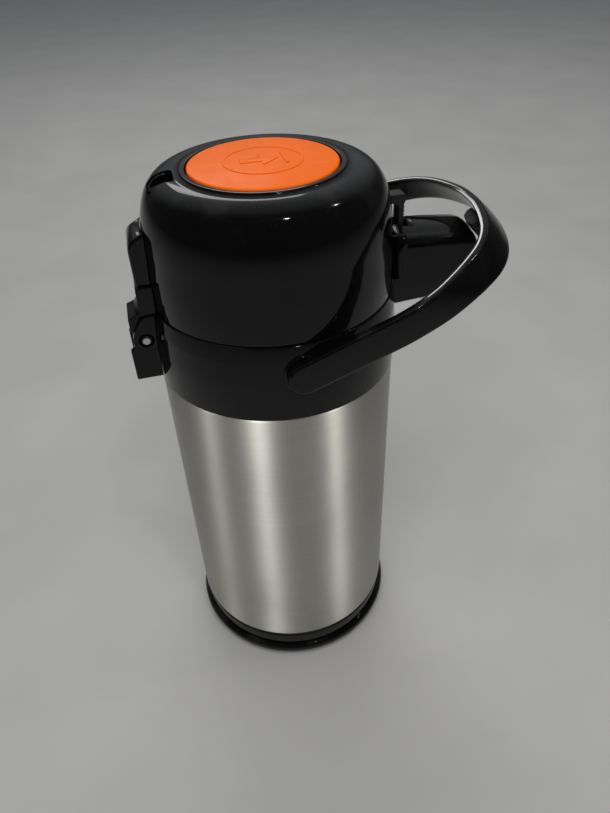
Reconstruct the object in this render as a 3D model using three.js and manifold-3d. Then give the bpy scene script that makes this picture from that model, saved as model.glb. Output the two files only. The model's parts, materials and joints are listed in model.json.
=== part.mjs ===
// Push-button thermal airpot: a steel vacuum pot on a swivel base, with a hinged pump lid, a fixed spout
// nose, a lid latch and a swinging bail handle. Millimetres, +Z up, origin at the centre of the base on the table.
// The spout points to -Y and the lid hinge is at +Y.
import * as THREE from 'three';
import { mergeVertices } from 'three/addons/utils/BufferGeometryUtils.js';
import Module from 'manifold-3d';

// ---------------------------------------------------------------- driving dimensions
const GAP = 0.3; // clearance between pieces that touch
const ROUND = 48; // segments of the large round pieces
const INNER_ROUND = 24; // segments of the round pieces inside
const SMALL_ROUND = 16; // segments of screws, pins and bores

const SHELL_RADIUS = 73; // brushed steel body, outside
const SHELL_WALL = 0.6;
const SHELL_BOTTOM = 26;
const SHELL_TOP = 238.4;

const BASE_RADIUS = 75.5; // widest point of the swivel base
const BASE_TOP = 11.4;
const BOLT_RADIUS = 5;

const COLLAR_RADIUS = 73.6; // plastic collar above the steel
const COLLAR_TOP = 285.2;
const COLLAR_TOP_RADIUS = 71;
const COLLAR_BORE = 68;

const LID_SEAM = 285.8; // lower edge of the lid dome
const LID_WALL = 2.2;
const BUTTON_RADIUS = 40.6;
const BUTTON_TOP = 357.6;
const BUTTON_BORE = 41.5;

const HINGE_Y = 78; // lid hinge pin, along X
const HINGE_Z = 268;
const HINGE_PIN_RADIUS = 2.5;
const CHEEK_INSIDE = 10.2; // inside face of each hinge cheek
const CHEEK_OUTSIDE = 13.8;

const NOSE_SEAM = 284.7; // joint between the lower nose and its cover
const NOSE_HALF_WIDTH = 19;
const TRAY_HALF_WIDTH = 17;
const NOSE_TIP = 122; // how far the nose reaches forward at its top
const TUBE_HEIGHT = 277; // centre of the level run of the outlet tube
const NOZZLE_Y = -108;

const LATCH_Y = -78; // latch pivot, along X
const LATCH_Z = 303;

const HANDLE_Z = 268.7; // bail pivot axis, along X
const HANDLE_TILT = 20; // degrees above level at rest
const HANDLE_HALF_WIDTH = 79.9; // outside of the arms
const HANDLE_THICKNESS = 5.8;
const HANDLE_STRAP = 19; // width of the strap
const HANDLE_FLARE = 4.5; // how far the lower edge of the grip leans outward

const LINER_FLOOR = 37; // inside bottom of the vacuum liner
const LINER_RADIUS = 61.2; // inside radius of the vacuum liner
const LINER_GAUGE = 0.8;
const JACKET_RADIUS = 66; // outside radius of the jacket round the liner
const JACKET_NECK = 28;
const NECK_RADIUS = 24; // mouth of the vacuum liner
const NECK_TOP = 258;

// ---------------------------------------------------------------- solids
const wasm = await Module();
wasm.setup();

// Joins equal corners, drops collapsed triangles and turns the faces outward.
function weld(geometry) {
  const bare = geometry.index ? geometry.clone() : geometry;
  bare.deleteAttribute('normal');
  bare.deleteAttribute('uv');
  const merged = mergeVertices(bare, 1e-4);
  const index = merged.index.array;
  const position = merged.attributes.position;
  const kept = [];
  const a = new THREE.Vector3();
  const b = new THREE.Vector3();
  const c = new THREE.Vector3();
  let volume = 0;
  for (let i = 0; i < index.length; i += 3) {
    const [p, q, r] = [index[i], index[i + 1], index[i + 2]];
    if (p === q || q === r || r === p) continue;
    kept.push(p, q, r);
    a.fromBufferAttribute(position, p);
    b.fromBufferAttribute(position, q);
    c.fromBufferAttribute(position, r);
    volume += a.dot(b.cross(c));
  }
  if (volume < 0) {
    for (let i = 0; i < kept.length; i += 3) [kept[i], kept[i + 1]] = [kept[i + 1], kept[i]];
  }
  merged.setIndex(kept);
  return merged;
}

function solid(geometry) {
  const welded = weld(geometry);
  return new wasm.Manifold(new wasm.Mesh({
    numProp: 3,
    vertProperties: new Float32Array(welded.attributes.position.array),
    triVerts: new Uint32Array(welded.index.array),
  }));
}

function geometryOf(body) {
  const mesh = body.getMesh();
  const geometry = new THREE.BufferGeometry();
  geometry.setAttribute('position', new THREE.BufferAttribute(mesh.vertProperties.slice(), 3));
  geometry.setIndex(new THREE.BufferAttribute(mesh.triVerts.slice(), 1));
  geometry.computeVertexNormals();
  return geometry;
}

const join = (...bodies) => bodies.reduce((whole, body) => whole.add(body));
const cut = (whole, ...tools) => tools.reduce((left, tool) => left.subtract(tool), whole);
const common = (...bodies) => bodies.reduce((left, body) => left.intersect(body));

// A profile of [radius, height] turned about the vertical axis. It closes on itself or ends on the axis.
function turned(profile, segments = ROUND) {
  const points = profile.map(([r, z]) => new THREE.Vector2(r, z));
  const first = points[0];
  const last = points[points.length - 1];
  if (first.x > 0 || last.x > 0) points.push(first.clone());
  const geometry = new THREE.LatheGeometry(points, segments);
  geometry.rotateX(Math.PI / 2);
  return solid(geometry);
}

function ring(rInside, rOutside, low, high, segments = ROUND) {
  return turned([[rInside, low], [rOutside, low], [rOutside, high], [rInside, high]], segments);
}

function disc(radius, low, high, segments = ROUND) {
  return turned([[0, low], [radius, low], [radius, high], [0, high]], segments);
}

function box(x0, x1, y0, y1, z0, z1) {
  const geometry = new THREE.BoxGeometry(x1 - x0, y1 - y0, z1 - z0);
  geometry.translate((x0 + x1) / 2, (y0 + y1) / 2, (z0 + z1) / 2);
  return solid(geometry);
}

function outlineOf(points) {
  return new THREE.Shape(points.map(([x, y]) => new THREE.Vector2(x, y)));
}

// An outline of [x, y] raised from low to high.
function upright(points, low, high) {
  const geometry = new THREE.ExtrudeGeometry(outlineOf(points), { depth: high - low, bevelEnabled: false });
  geometry.translate(0, 0, low);
  return solid(geometry);
}

// An outline of [y, z] drawn along X.
function alongX(points, x0, x1) {
  const geometry = new THREE.ExtrudeGeometry(outlineOf(points), { depth: x1 - x0, bevelEnabled: false });
  geometry.applyMatrix4(new THREE.Matrix4().makeBasis(
    new THREE.Vector3(0, 1, 0),
    new THREE.Vector3(0, 0, 1),
    new THREE.Vector3(1, 0, 0),
  ));
  geometry.translate(x0, 0, 0);
  return solid(geometry);
}

// An outline of [x, z] drawn along Y.
function alongY(points, y0, y1) {
  const geometry = new THREE.ExtrudeGeometry(outlineOf(points), { depth: y1 - y0, bevelEnabled: false });
  geometry.rotateX(Math.PI / 2);
  geometry.translate(0, y1, 0);
  return solid(geometry);
}

function rodX(radius, x0, x1, y, z, segments = SMALL_ROUND) {
  const geometry = new THREE.CylinderGeometry(radius, radius, x1 - x0, segments);
  geometry.rotateZ(-Math.PI / 2);
  geometry.translate((x0 + x1) / 2, y, z);
  return solid(geometry);
}

function rodY(radius, y0, y1, x, z, segments = SMALL_ROUND) {
  const geometry = new THREE.CylinderGeometry(radius, radius, y1 - y0, segments);
  geometry.translate(x, (y0 + y1) / 2, z);
  return solid(geometry);
}

function rodZ(radius, z0, z1, x, y, segments = SMALL_ROUND) {
  const geometry = new THREE.CylinderGeometry(radius, radius, z1 - z0, segments);
  geometry.rotateX(Math.PI / 2);
  geometry.translate(x, y, (z0 + z1) / 2);
  return solid(geometry);
}

// A round section drawn along a curve, bored out where a bore radius is given.
function drawnAlong(curve, steps, radius, sides, bore = 0) {
  const section = new THREE.Shape();
  section.absarc(0, 0, radius, 0, 2 * Math.PI, false);
  if (bore > 0) {
    const hole = new THREE.Path();
    hole.absarc(0, 0, bore, 0, 2 * Math.PI, true);
    section.holes.push(hole);
  }
  return solid(new THREE.ExtrudeGeometry(section, {
    steps,
    curveSegments: sides / 2,
    bevelEnabled: false,
    extrudePath: curve,
  }));
}

// Moves each point of a [radius, height] profile inward, square to the profile.
function inset(profile, depth) {
  return profile.map((point, i) => {
    const before = profile[Math.max(i - 1, 0)];
    const after = profile[Math.min(i + 1, profile.length - 1)];
    const along = new THREE.Vector2(after[0] - before[0], after[1] - before[1]).normalize();
    return [point[0] - depth * along.y, point[1] + depth * along.x];
  });
}

function atAngle(degrees, radius) {
  const angle = THREE.MathUtils.degToRad(degrees);
  return [radius * Math.cos(angle), radius * Math.sin(angle)];
}

// ---------------------------------------------------------------- materials
const LOOKS = {
  blackGloss: { color: 0x0b0b0c, roughness: 0.16, metalness: 0 },
  blackMatte: { color: 0x17171a, roughness: 0.5, metalness: 0 },
  orangeGloss: { color: 0xe4541f, roughness: 0.25, metalness: 0 },
  brushedSteel: { color: 0xbab7b0, roughness: 0.32, metalness: 1 },
  linerSteel: { color: 0xc4c4c2, roughness: 0.2, metalness: 1 },
  fixingSteel: { color: 0xa8a8a6, roughness: 0.35, metalness: 1 },
  rubber: { color: 0x1d1c1b, roughness: 0.8, metalness: 0 },
  silicone: { color: 0xd9d6cf, roughness: 0.6, metalness: 0 },
  whitePlastic: { color: 0xdedcd6, roughness: 0.45, metalness: 0 },
};

const airpot = new THREE.Group();
const parts = new THREE.Group();
airpot.add(parts);

function addPart(name, body, look, parent = parts) {
  const mesh = new THREE.Mesh(geometryOf(body), new THREE.MeshStandardMaterial(LOOKS[look]));
  mesh.name = name;
  parent.add(mesh);
}

// ---------------------------------------------------------------- swivel base
function swivelBase() {
  const grooveInside = 57.7;
  const grooveOutside = 66.3;
  return turned([
    [BOLT_RADIUS + 0.4, 4.6], [11, 4.6], [11, 1], [grooveInside, 1], [grooveInside, 2.9],
    [grooveOutside, 2.9], [grooveOutside, 1], [72.6, 1], [73.8, 2.2], [75.2, 5.2],
    [BASE_RADIUS, 7.6], [75, 10], [73.9, BASE_TOP], [71.8, BASE_TOP], [71.4, 10.8], [71.4, 4.5],
    [16, 4.5], [16, 8], [BOLT_RADIUS + 0.4, 8],
  ]);
}

addPart('swivel_base', swivelBase(), 'blackGloss');
addPart('anti_slip_ring', ring(58, 66, 0, 2.6), 'rubber');
addPart('glide_ring', ring(50, 56, 4.8, 8, INNER_ROUND), 'whitePlastic');
addPart('pivot_bolt', turned([
  [0, 1.6], [10, 1.6], [10, 4.3], [BOLT_RADIUS, 4.3], [BOLT_RADIUS, 22], [0, 22],
], SMALL_ROUND), 'fixingSteel');
addPart('bolt_cover', disc(10.6, 0, 1.3, 32), 'rubber');
addPart('pivot_nut', ring(BOLT_RADIUS + 0.3, 9, 17.3, 20.5, SMALL_ROUND), 'fixingSteel');

// ---------------------------------------------------------------- steel pot
function bottomCap() {
  const skirt = SHELL_RADIUS - SHELL_WALL - GAP - 0.1;
  return turned([
    [BOLT_RADIUS + 0.4, 8.3], [70.4, 8.3], [70.4, BASE_TOP + GAP], [71.6, BASE_TOP + GAP],
    [72.5, 12.8], [72.5, SHELL_BOTTOM - GAP], [skirt, SHELL_BOTTOM - GAP], [skirt, 36], [69.7, 36],
    [69.7, 11.3], [12, 11.3], [12, 17], [BOLT_RADIUS + 0.4, 17],
  ]);
}

addPart('bottom_cap', bottomCap(), 'blackGloss');
addPart('steel_shell', ring(
  SHELL_RADIUS - SHELL_WALL, SHELL_RADIUS, SHELL_BOTTOM, SHELL_TOP,
), 'brushedSteel');

// A turned sheet of the given gauge on one side of a profile that runs downward and may end on the axis.
function skin(profile, gauge) {
  const back = inset(profile, gauge).map(([r, z], i) => [profile[i][0] === 0 ? 0 : r, z]);
  return turned([...profile, ...back.reverse()], INNER_ROUND);
}

// The pot is two steel walls with a vacuum between them: the liner inside and the jacket behind it. Each is
// pressed in a few pieces, and the jacket floor has the pumping port.
addPart('liner_neck', turned([
  [NECK_RADIUS, 246.9], [NECK_RADIUS, NECK_TOP], [JACKET_NECK - LINER_GAUGE, NECK_TOP],
  [JACKET_NECK - LINER_GAUGE, NECK_TOP - LINER_GAUGE], [NECK_RADIUS + LINER_GAUGE, NECK_TOP - LINER_GAUGE],
  [NECK_RADIUS + LINER_GAUGE, 246.9],
], INNER_ROUND), 'linerSteel');
addPart('liner_shoulder', skin([
  [NECK_RADIUS, 246], [38, 234], [54, 220], [LINER_RADIUS, 202.2],
], LINER_GAUGE), 'linerSteel');
addPart('liner_wall', ring(LINER_RADIUS, LINER_RADIUS + LINER_GAUGE, 52, 201.9, INNER_ROUND), 'linerSteel');
addPart('liner_floor', skin([
  [LINER_RADIUS, 51.7], [56, 42], [40, 38], [0, LINER_FLOOR],
], LINER_GAUGE), 'linerSteel');
addPart('jacket_shoulder', skin([
  [JACKET_NECK, 256.9], [JACKET_NECK, 248], [41, 236.5], [57.6, 222.5], [JACKET_RADIUS, 203],
], -LINER_GAUGE), 'linerSteel');
addPart('jacket_wall', ring(
  JACKET_RADIUS - LINER_GAUGE, JACKET_RADIUS, 50.7, 202.3, INNER_ROUND,
), 'linerSteel');
addPart('jacket_floor', skin([
  [JACKET_RADIUS, 50], [59.5, 37.5], [41, 33.2], [3.5, 32],
], -LINER_GAUGE), 'linerSteel');
addPart('evacuation_cap', turned([
  [0, 29.6], [7, 29.6], [7, 31.6], [3.1, 31.6], [3.1, 33.6], [0, 33.6],
], SMALL_ROUND), 'linerSteel');
addPart('liner_cushion', turned([
  [26, 11.6], [38, 11.6], [38, 32.3], [26, 32.3],
], INNER_ROUND), 'rubber');
addPart('liner_retainer', turned([
  [28.6, 250.4], [31, 250.4], [31, 255.5], [COLLAR_BORE - 0.6, 262], [COLLAR_BORE - 0.6, 264.3],
  [31.6, 258], [28.6, 258],
], INNER_ROUND), 'blackMatte');
addPart('neck_gasket', ring(24.3, 28.6, NECK_TOP + GAP, 260.5, INNER_ROUND), 'silicone');

// ---------------------------------------------------------------- dome and nose outlines used by several pieces
// The dome rises nearly upright from the seam, then turns over in a squarish curve to the button well.
function domeOutline() {
  const wellRadius = 42.3;
  const shoulderRadius = 69.6;
  const shoulder = 316;
  const top = 354.8;
  const steps = 9;
  const points = [[70.6, LID_SEAM], [70.5, 296], [70.3, 308]];
  for (let i = 0; i <= steps; i += 1) {
    const angle = (i / steps) * (Math.PI / 2);
    points.push([
      wellRadius + (shoulderRadius - wellRadius) * Math.max(Math.cos(angle), 0) ** 0.625,
      shoulder + (top - shoulder) * Math.sin(angle) ** 0.833,
    ]);
  }
  return points;
}

const domeProfile = domeOutline();
const collarProfile = [[COLLAR_RADIUS, 262], [72.8, 276], [COLLAR_TOP_RADIUS, COLLAR_TOP]];

// The collar and dome as one full body, grown by the given clearance, to hollow out what stands against it.
function domeClearance(clearance) {
  const collarSide = collarProfile.map(([r, z]) => [r + clearance, z]);
  return turned([[0, 262], ...collarSide, ...inset(domeProfile, -clearance).slice(1), [0, 356]]);
}

// Plan of the nose: nearly straight sides and a rounded front.
function nosePlan(halfWidth, reach, from = -66) {
  const taper = 0.8;
  const corner = 9;
  const points = [[halfWidth, from]];
  for (let i = 0; i <= 6; i += 1) {
    const angle = (i / 6) * (Math.PI / 2);
    points.push([
      halfWidth - taper - corner * (1 - Math.cos(angle)),
      -reach + corner * 0.55 * (1 - Math.sin(angle)),
    ]);
  }
  const left = points.slice().reverse().map(([x, y]) => [-x, y]);
  return [...points, ...left];
}

// Section of the nose cover: upright sides, rounded shoulders and a crowned top.
function noseSection(halfWidth, top, crown) {
  const points = [];
  const steps = 14;
  for (let i = 0; i <= steps; i += 1) {
    const angle = (i / steps) * Math.PI;
    const across = Math.sign(Math.cos(angle)) * Math.abs(Math.cos(angle)) ** 0.42;
    const rise = Math.abs(Math.sin(angle)) ** 0.75;
    points.push([halfWidth * across, top - crown + crown * rise]);
  }
  return [[halfWidth, 260], ...points, [-halfWidth, 260]];
}

function noseCoverBody(wall) {
  const reach = NOSE_TIP + 5.5 - wall;
  const half = NOSE_HALF_WIDTH - wall;
  const side = [
    [-60, NOSE_SEAM + GAP - (wall > 0 ? 5 : 0)], [-60, 311 - wall], [-78, 311 - wall], [-104, 309.4 - wall],
    [-114, 308.4 - wall], [-119.5 + wall, 306.6 - wall], [-NOSE_TIP + wall, 302.5 - wall / 2],
    [-reach, NOSE_SEAM + GAP - (wall > 0 ? 5 : 0)],
  ];
  return common(
    upright(nosePlan(half, reach), 270, 320),
    alongX(side, -40, 40),
    alongY(noseSection(half, 311 - wall, 9), -140, -50),
  );
}

// ---------------------------------------------------------------- collar with the lower nose
function lowerNose() {
  const shape = (wall) => common(
    upright(nosePlan(TRAY_HALF_WIDTH - wall, NOSE_TIP - 1 - wall), 262, 300),
    alongX([
      [-60, 265.6 + wall], [-104, 267.8 + wall], [-112, 270 + wall], [-117.5 + wall, 274 + wall],
      [-NOSE_TIP + wall, NOSE_SEAM + (wall > 0 ? 6 : 0)], [-60, NOSE_SEAM + (wall > 0 ? 6 : 0)],
    ], -40, 40),
  );
  return { outside: shape(0), inside: shape(2) };
}

function collar() {
  const skirt = SHELL_RADIUS - SHELL_WALL - GAP - 0.1;
  const body = turned([
    [COLLAR_BORE, 230], [skirt, 228], [skirt, SHELL_TOP + GAP], [COLLAR_RADIUS, SHELL_TOP + GAP],
    ...collarProfile, [COLLAR_BORE, COLLAR_TOP],
  ]);
  const bore = rodZ(COLLAR_BORE, 220, 300, 0, 0, ROUND);
  const nose = lowerNose();
  const bosses = [-1, 1].map((side) => rodX(
    11,
    side < 0 ? -73.7 : 66,
    side < 0 ? -66 : 73.7,
    0,
    HANDLE_Z,
    32,
  ));
  const whole = join(body, ...bosses, cut(nose.outside, disc(69.5, 250, 300)));
  const knucklePocket = rodX(7.3, -CHEEK_INSIDE, CHEEK_INSIDE, HINGE_Y, HINGE_Z, 32);
  const tubeWay = box(-7, 7, -75, -60, 271.5, 292);
  const outlet = rodZ(8, 255, 280, 0, NOZZLE_Y, 24);
  const studHoles = [-1, 1].map((side) => {
    const far = side * 90;
    return rodX(3.4, Math.min(0, far), Math.max(0, far), 0, HANDLE_Z);
  });
  const noseScrewHoles = noseScrewPlaces.map(([x, y]) => rodZ(2, 255, 280, x, y, 12));
  const bracketHoles = bracketScrewPlaces.map(([x, z]) => rodY(2, 60, 80, x, z, 12));
  const insideNose = cut(nose.inside, disc(COLLAR_RADIUS - 0.6, 250, 300));
  const holes = [...studHoles, ...noseScrewHoles, ...bracketHoles];
  return cut(whole, bore, insideNose, knucklePocket, tubeWay, outlet, ...holes);
}

const noseScrewPlaces = [[-10.8, -92], [10.8, -92]];
const bracketScrewPlaces = [[-6, 247], [6, 247]];
addPart('collar', collar(), 'blackGloss');

// ---------------------------------------------------------------- hinge bracket, screwed on from inside
function hingeBracket() {
  const cheeks = [-1, 1].map((side) => alongX(
    [
      [70, 244], [72, 242], [88, 242], [88, 262], [85.4, 264.5], [85.2, 270], [83.4, 275], [80, 280.5],
      [77, 283.5], [70, 283.5],
    ],
    Math.min(side * CHEEK_INSIDE, side * CHEEK_OUTSIDE),
    Math.max(side * CHEEK_INSIDE, side * CHEEK_OUTSIDE),
  ));
  const web = box(-CHEEK_INSIDE - 1, CHEEK_INSIDE + 1, 70, 86, 242, 251);
  const collarSide = collarProfile.map(([r, z]) => [r + GAP, z]);
  const seat = turned([[0, 230], [COLLAR_RADIUS + GAP, 230], ...collarSide, [0, COLLAR_TOP]]);
  const pinHole = rodX(HINGE_PIN_RADIUS + 0.3, -20, 20, HINGE_Y, HINGE_Z);
  const pilots = bracketScrewPlaces.map(([x, z]) => rodY(1.8, 60, 79, x, z, 12));
  return cut(join(...cheeks, web), seat, pinHole, ...pilots);
}

addPart('hinge_bracket', hingeBracket(), 'blackGloss');
bracketScrewPlaces.forEach(([x, z], i) => {
  const screw = join(rodY(1.5, 66.8, 78.4, x, z, 12), rodY(3.2, 65.2, 66.9, x, z, 16));
  addPart(`bracket_screw_${i + 1}`, screw, 'fixingSteel');
});
addPart('hinge_pin', rodX(HINGE_PIN_RADIUS, -14.8, 14.8, HINGE_Y, HINGE_Z), 'fixingSteel');

// ---------------------------------------------------------------- nose cover, held by two screws from below
function noseCover() {
  const flange = common(
    box(-NOSE_HALF_WIDTH - 1.6, NOSE_HALF_WIDTH + 1.6, -76.5, -60, NOSE_SEAM + GAP, 313),
    alongY(noseSection(NOSE_HALF_WIDTH + 1.6, 312.6, 9), -140, -50),
  );
  const roof = join(noseCoverBody(0), flange);
  const hollow = cut(noseCoverBody(2.2), box(-40, 40, -74.2, -50, 250, 330));
  const posts = noseScrewPlaces.map(([x, y]) => rodZ(3.2, 269.8, 309, x, y, 16));
  const pilots = noseScrewPlaces.map(([x, y]) => rodZ(1.7, 260, 284, x, y, 12));
  const lugs = [-1, 1].map((side) => box(
    side < 0 ? -8.4 : 5.6,
    side < 0 ? -5.6 : 8.4,
    LATCH_Y - 4,
    -72,
    298.5,
    309.5,
  ));
  const slot = box(-5, 5, -85, -60, 290, 320);
  const pinHole = rodX(1.8, -9, 9, LATCH_Y, LATCH_Z, 16);
  const body = join(cut(roof, hollow), ...posts, ...lugs);
  return cut(body, domeClearance(0.5), slot, pinHole, ...pilots);
}

addPart('nose_cover', noseCover(), 'blackGloss');
noseScrewPlaces.forEach(([x, y], i) => {
  const screw = join(rodZ(1.4, 266.6, 282, x, y, 12), rodZ(3.2, 264.8, 266.7, x, y, 16));
  addPart(`nose_screw_${i + 1}`, screw, 'fixingSteel');
});

// ---------------------------------------------------------------- lid latch on the root of the nose
function latchLever() {
  const stem = alongX([
    [-76.4, 300], [-76.4, 322.6], [-74.4, 324], [-71.6, 324.5], [-71.6, 328.6], [-72.6, 329.5],
    [-79.6, 329.5], [-80.5, 328.6], [-80.6, 324.9], [-79.8, 324], [-79.8, 300],
  ], -4.2, 4.2);
  const teeth = [0, 1, 2, 3, 4].map((i) => alongX([
    [-79.6, 312 + 2.2 * i], [-80.5, 312.8 + 2.2 * i], [-79.6, 313.6 + 2.2 * i],
  ], -4.2, 4.2));
  const knuckle = rodX(3.3, -4.2, 4.2, LATCH_Y, LATCH_Z, 24);
  return cut(join(stem, knuckle, ...teeth), rodX(1.8, -6, 6, LATCH_Y, LATCH_Z, 16));
}

addPart('latch_lever', latchLever(), 'blackMatte');
addPart('latch_pin', rodX(1.45, -9, 9, LATCH_Y, LATCH_Z, 16), 'fixingSteel');

// ---------------------------------------------------------------- inner stopper and dispensing tubes
function innerStopper() {
  const cup = turned([
    [3.9, 260.8], [21.8, 260.8], [21.8, 251], [23.5, 251], [23.5, 260.8], [29, 260.8], [29, 283],
    [26.6, 283], [26.6, 263.6], [7.6, 263.6], [7.6, 268], [4.95, 268], [4.95, 263.6], [3.9, 263.6],
  ], INNER_ROUND);
  const airHoles = [30, 90, 150, 210, 270, 330].map((angle) => {
    const [x, y] = atAngle(angle, 15);
    return rodZ(1.2, 255, 270, x, y, 12);
  });
  return cut(cup, rodY(5.1, -35, -20, 0, TUBE_HEIGHT), ...airHoles);
}

addPart('inner_stopper', innerStopper(), 'whitePlastic');
addPart('dip_tube', ring(2.6, 3.5, 42, 263.4, SMALL_ROUND), 'whitePlastic');

function outletTube() {
  const bend = 11;
  const dropBend = 7;
  const path = new THREE.CurvePath();
  const start = new THREE.Vector3(0, 0, 264);
  const up = new THREE.Vector3(0, 0, TUBE_HEIGHT - bend);
  const level = new THREE.Vector3(0, -bend, TUBE_HEIGHT);
  const beforeDrop = new THREE.Vector3(0, NOZZLE_Y + dropBend, TUBE_HEIGHT);
  const drop = new THREE.Vector3(0, NOZZLE_Y, TUBE_HEIGHT - dropBend);
  path.add(new THREE.LineCurve3(start, up));
  path.add(new THREE.QuadraticBezierCurve3(up, new THREE.Vector3(0, 0, TUBE_HEIGHT), level));
  path.add(new THREE.LineCurve3(level, beforeDrop));
  path.add(new THREE.QuadraticBezierCurve3(beforeDrop, new THREE.Vector3(0, NOZZLE_Y, TUBE_HEIGHT), drop));
  path.add(new THREE.LineCurve3(drop, new THREE.Vector3(0, NOZZLE_Y, 264.5)));
  return drawnAlong(path, 24, 4.5, 10, 3.2);
}

addPart('outlet_tube', outletTube(), 'whitePlastic');

function spoutNozzle() {
  const tip = turned([[4.9, 262], [6, 262], [6.6, 269.5], [4.9, 269.5]], 24);
  return tip.translate([0, NOZZLE_Y, 0]);
}

addPart('spout_nozzle', spoutNozzle(), 'blackMatte');

// ---------------------------------------------------------------- lid
const lidScrewPlaces = [45, 135, 225, 315].map((angle) => atAngle(angle, 56));
const hingeScrewPlaces = [[-6.5, 308], [6.5, 308]];

function ventPocket(grow) {
  return box(-9 - grow, 9 + grow, 47.5 - grow, 62 + grow, 338 - grow, 360);
}

function lidDome() {
  const inside = inset(domeProfile, LID_WALL).filter((point, i) => i % 2 === 0).slice(1, -1);
  const lip = [[45, 354.9], [44.1, 355.8], [42.8, 356], [BUTTON_BORE, 355.7]];
  const shell = turned([
    ...domeProfile.slice(0, -1), ...lip, [BUTTON_BORE, 330], [BUTTON_BORE + 2, 330],
    [BUTTON_BORE + 2, 351.6], ...inside.reverse(), [domeProfile[0][0] - LID_WALL, LID_SEAM],
  ]);
  const roof = turned([...inset(domeProfile, 1), [0, 353], [0, LID_SEAM]]);
  const posts = lidScrewPlaces.map(([x, y]) => common(rodZ(4, 289.6, 352, x, y, 16), roof));
  const pilots = lidScrewPlaces.map(([x, y]) => rodZ(1.7, 280, 300, x, y, 12));
  const hingeHoles = hingeScrewPlaces.map(([x, z]) => rodY(2, 55, 80, x, z, 12));
  return cut(join(shell, ...posts), ventPocket(0), ...pilots, ...hingeHoles);
}

addPart('lid_dome', lidDome(), 'blackGloss');

// A sunk plate that closes the pocket, with a curved rib that stands up in it.
function ventCover() {
  const layer = (top, bottom) => cut(
    turned([...inset(domeProfile, top), [0, 355 - top], [0, LID_SEAM]]),
    turned([...inset(domeProfile, bottom), [0, 355 - bottom], [0, LID_SEAM - 1]]),
  );
  const inPocket = ventPocket(-0.4);
  const plate = common(layer(4.2, 6.2), inPocket);
  const halfRing = box(-20, 20, 30, 51, 310, 370);
  const rib = cut(rodZ(8.2, 320, 360, 0, 54, 32), rodZ(6, 315, 365, 0, 54, 32), halfRing);
  return join(plate, common(layer(0.5, 6), rib, inPocket));
}

addPart('vent_cover', ventCover(), 'blackGloss');

function lidBasePlate() {
  const plate = turned([
    [6, 286.3], [67.4, 286.3], [67.4, 293], [65.4, 293], [65.4, 289.3], [33.2, 289.3], [33.2, 293],
    [31.2, 293], [31.2, 289.3], [6, 289.3],
  ], INNER_ROUND);
  return cut(plate, ...lidScrewPlaces.map(([x, y]) => rodZ(1.9, 280, 295, x, y, 12)));
}

addPart('lid_base_plate', lidBasePlate(), 'blackMatte');
addPart('lid_gasket', ring(25.4, 30, 283.3, 286, INNER_ROUND), 'silicone');
addPart('air_valve', turned([
  [0, 283.6], [5.6, 283.6], [5.6, 289.6], [9.5, 289.6], [9.5, 291], [0, 291],
], SMALL_ROUND), 'silicone');
lidScrewPlaces.forEach(([x, y], i) => {
  const screw = join(rodZ(1.4, 286, 298, x, y, 12), rodZ(3.2, 284.2, 286, x, y, 16));
  addPart(`lid_screw_${i + 1}`, screw, 'fixingSteel');
});

// The arm carries the lid on the pin: a knuckle between the cheeks, a block above them and a tab up the dome.
function hingeArm() {
  const knuckle = rodX(6.8, -CHEEK_INSIDE + GAP, CHEEK_INSIDE - GAP, HINGE_Y, HINGE_Z, 32);
  const web = alongX([
    [73.9, 268], [73.9, 285], [78.5, 285], [81.5, 282.5], [86, 281], [86, 272.6], [84.4, 271.4],
    [84.4, 266.4], [83, 265], [80, 263.8],
  ], -CHEEK_INSIDE + GAP, CHEEK_INSIDE - GAP);
  const block = alongX([[68, 284.2], [78.5, 284.2], [78.5, 299.8], [77.4, 301], [68, 301]], -14, 14);
  const tab = alongX([
    [66, 290], [77.6, 290], [77.6, 323], [77.1, 325.4], [75.1, 327.3], [66, 332.2],
  ], -12, 12);
  const body = join(knuckle, web, cut(join(block, tab), domeClearance(0.4)));
  const pinHole = rodX(HINGE_PIN_RADIUS + 0.35, -12, 12, HINGE_Y, HINGE_Z, 24);
  const pilots = hingeScrewPlaces.map(([x, z]) => rodY(1.8, 65, 75.5, x, z, 12));
  return cut(body, pinHole, ...pilots);
}

addPart('hinge_arm', hingeArm(), 'blackGloss');
hingeScrewPlaces.forEach(([x, z], i) => {
  const screw = join(rodY(1.5, 66.6, 75, x, z, 12), rodY(3.2, 64.6, 66.7, x, z, 16));
  addPart(`hinge_screw_${i + 1}`, screw, 'fixingSteel');
});

// ---------------------------------------------------------------- pump: bellows, spring, plate and button
const BELLOWS_LOW = 291.3;
const BELLOWS_HIGH = 326.2;

function bellows() {
  const folds = 4;
  const outside = [];
  const pitch = (BELLOWS_HIGH - BELLOWS_LOW) / (2 * folds);
  for (let i = 0; i <= 2 * folds; i += 1) outside.push([i % 2 ? 25 : 30.4, BELLOWS_LOW + pitch * i]);
  const inside = outside.map(([r, z]) => [r - 1.6, z]).reverse();
  return turned([...outside, ...inside], INNER_ROUND);
}

function returnSpring() {
  const turns = 5;
  const low = BELLOWS_LOW + 1.2;
  const height = BELLOWS_HIGH - BELLOWS_LOW - 2.6;
  class Coil extends THREE.Curve {
    getPoint(t, target = new THREE.Vector3()) {
      const angle = 2 * Math.PI * turns * t;
      return target.set(17 * Math.cos(angle), 17 * Math.sin(angle), low + height * t);
    }
  }
  return drawnAlong(new Coil(), 60, 1, 6);
}

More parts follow.
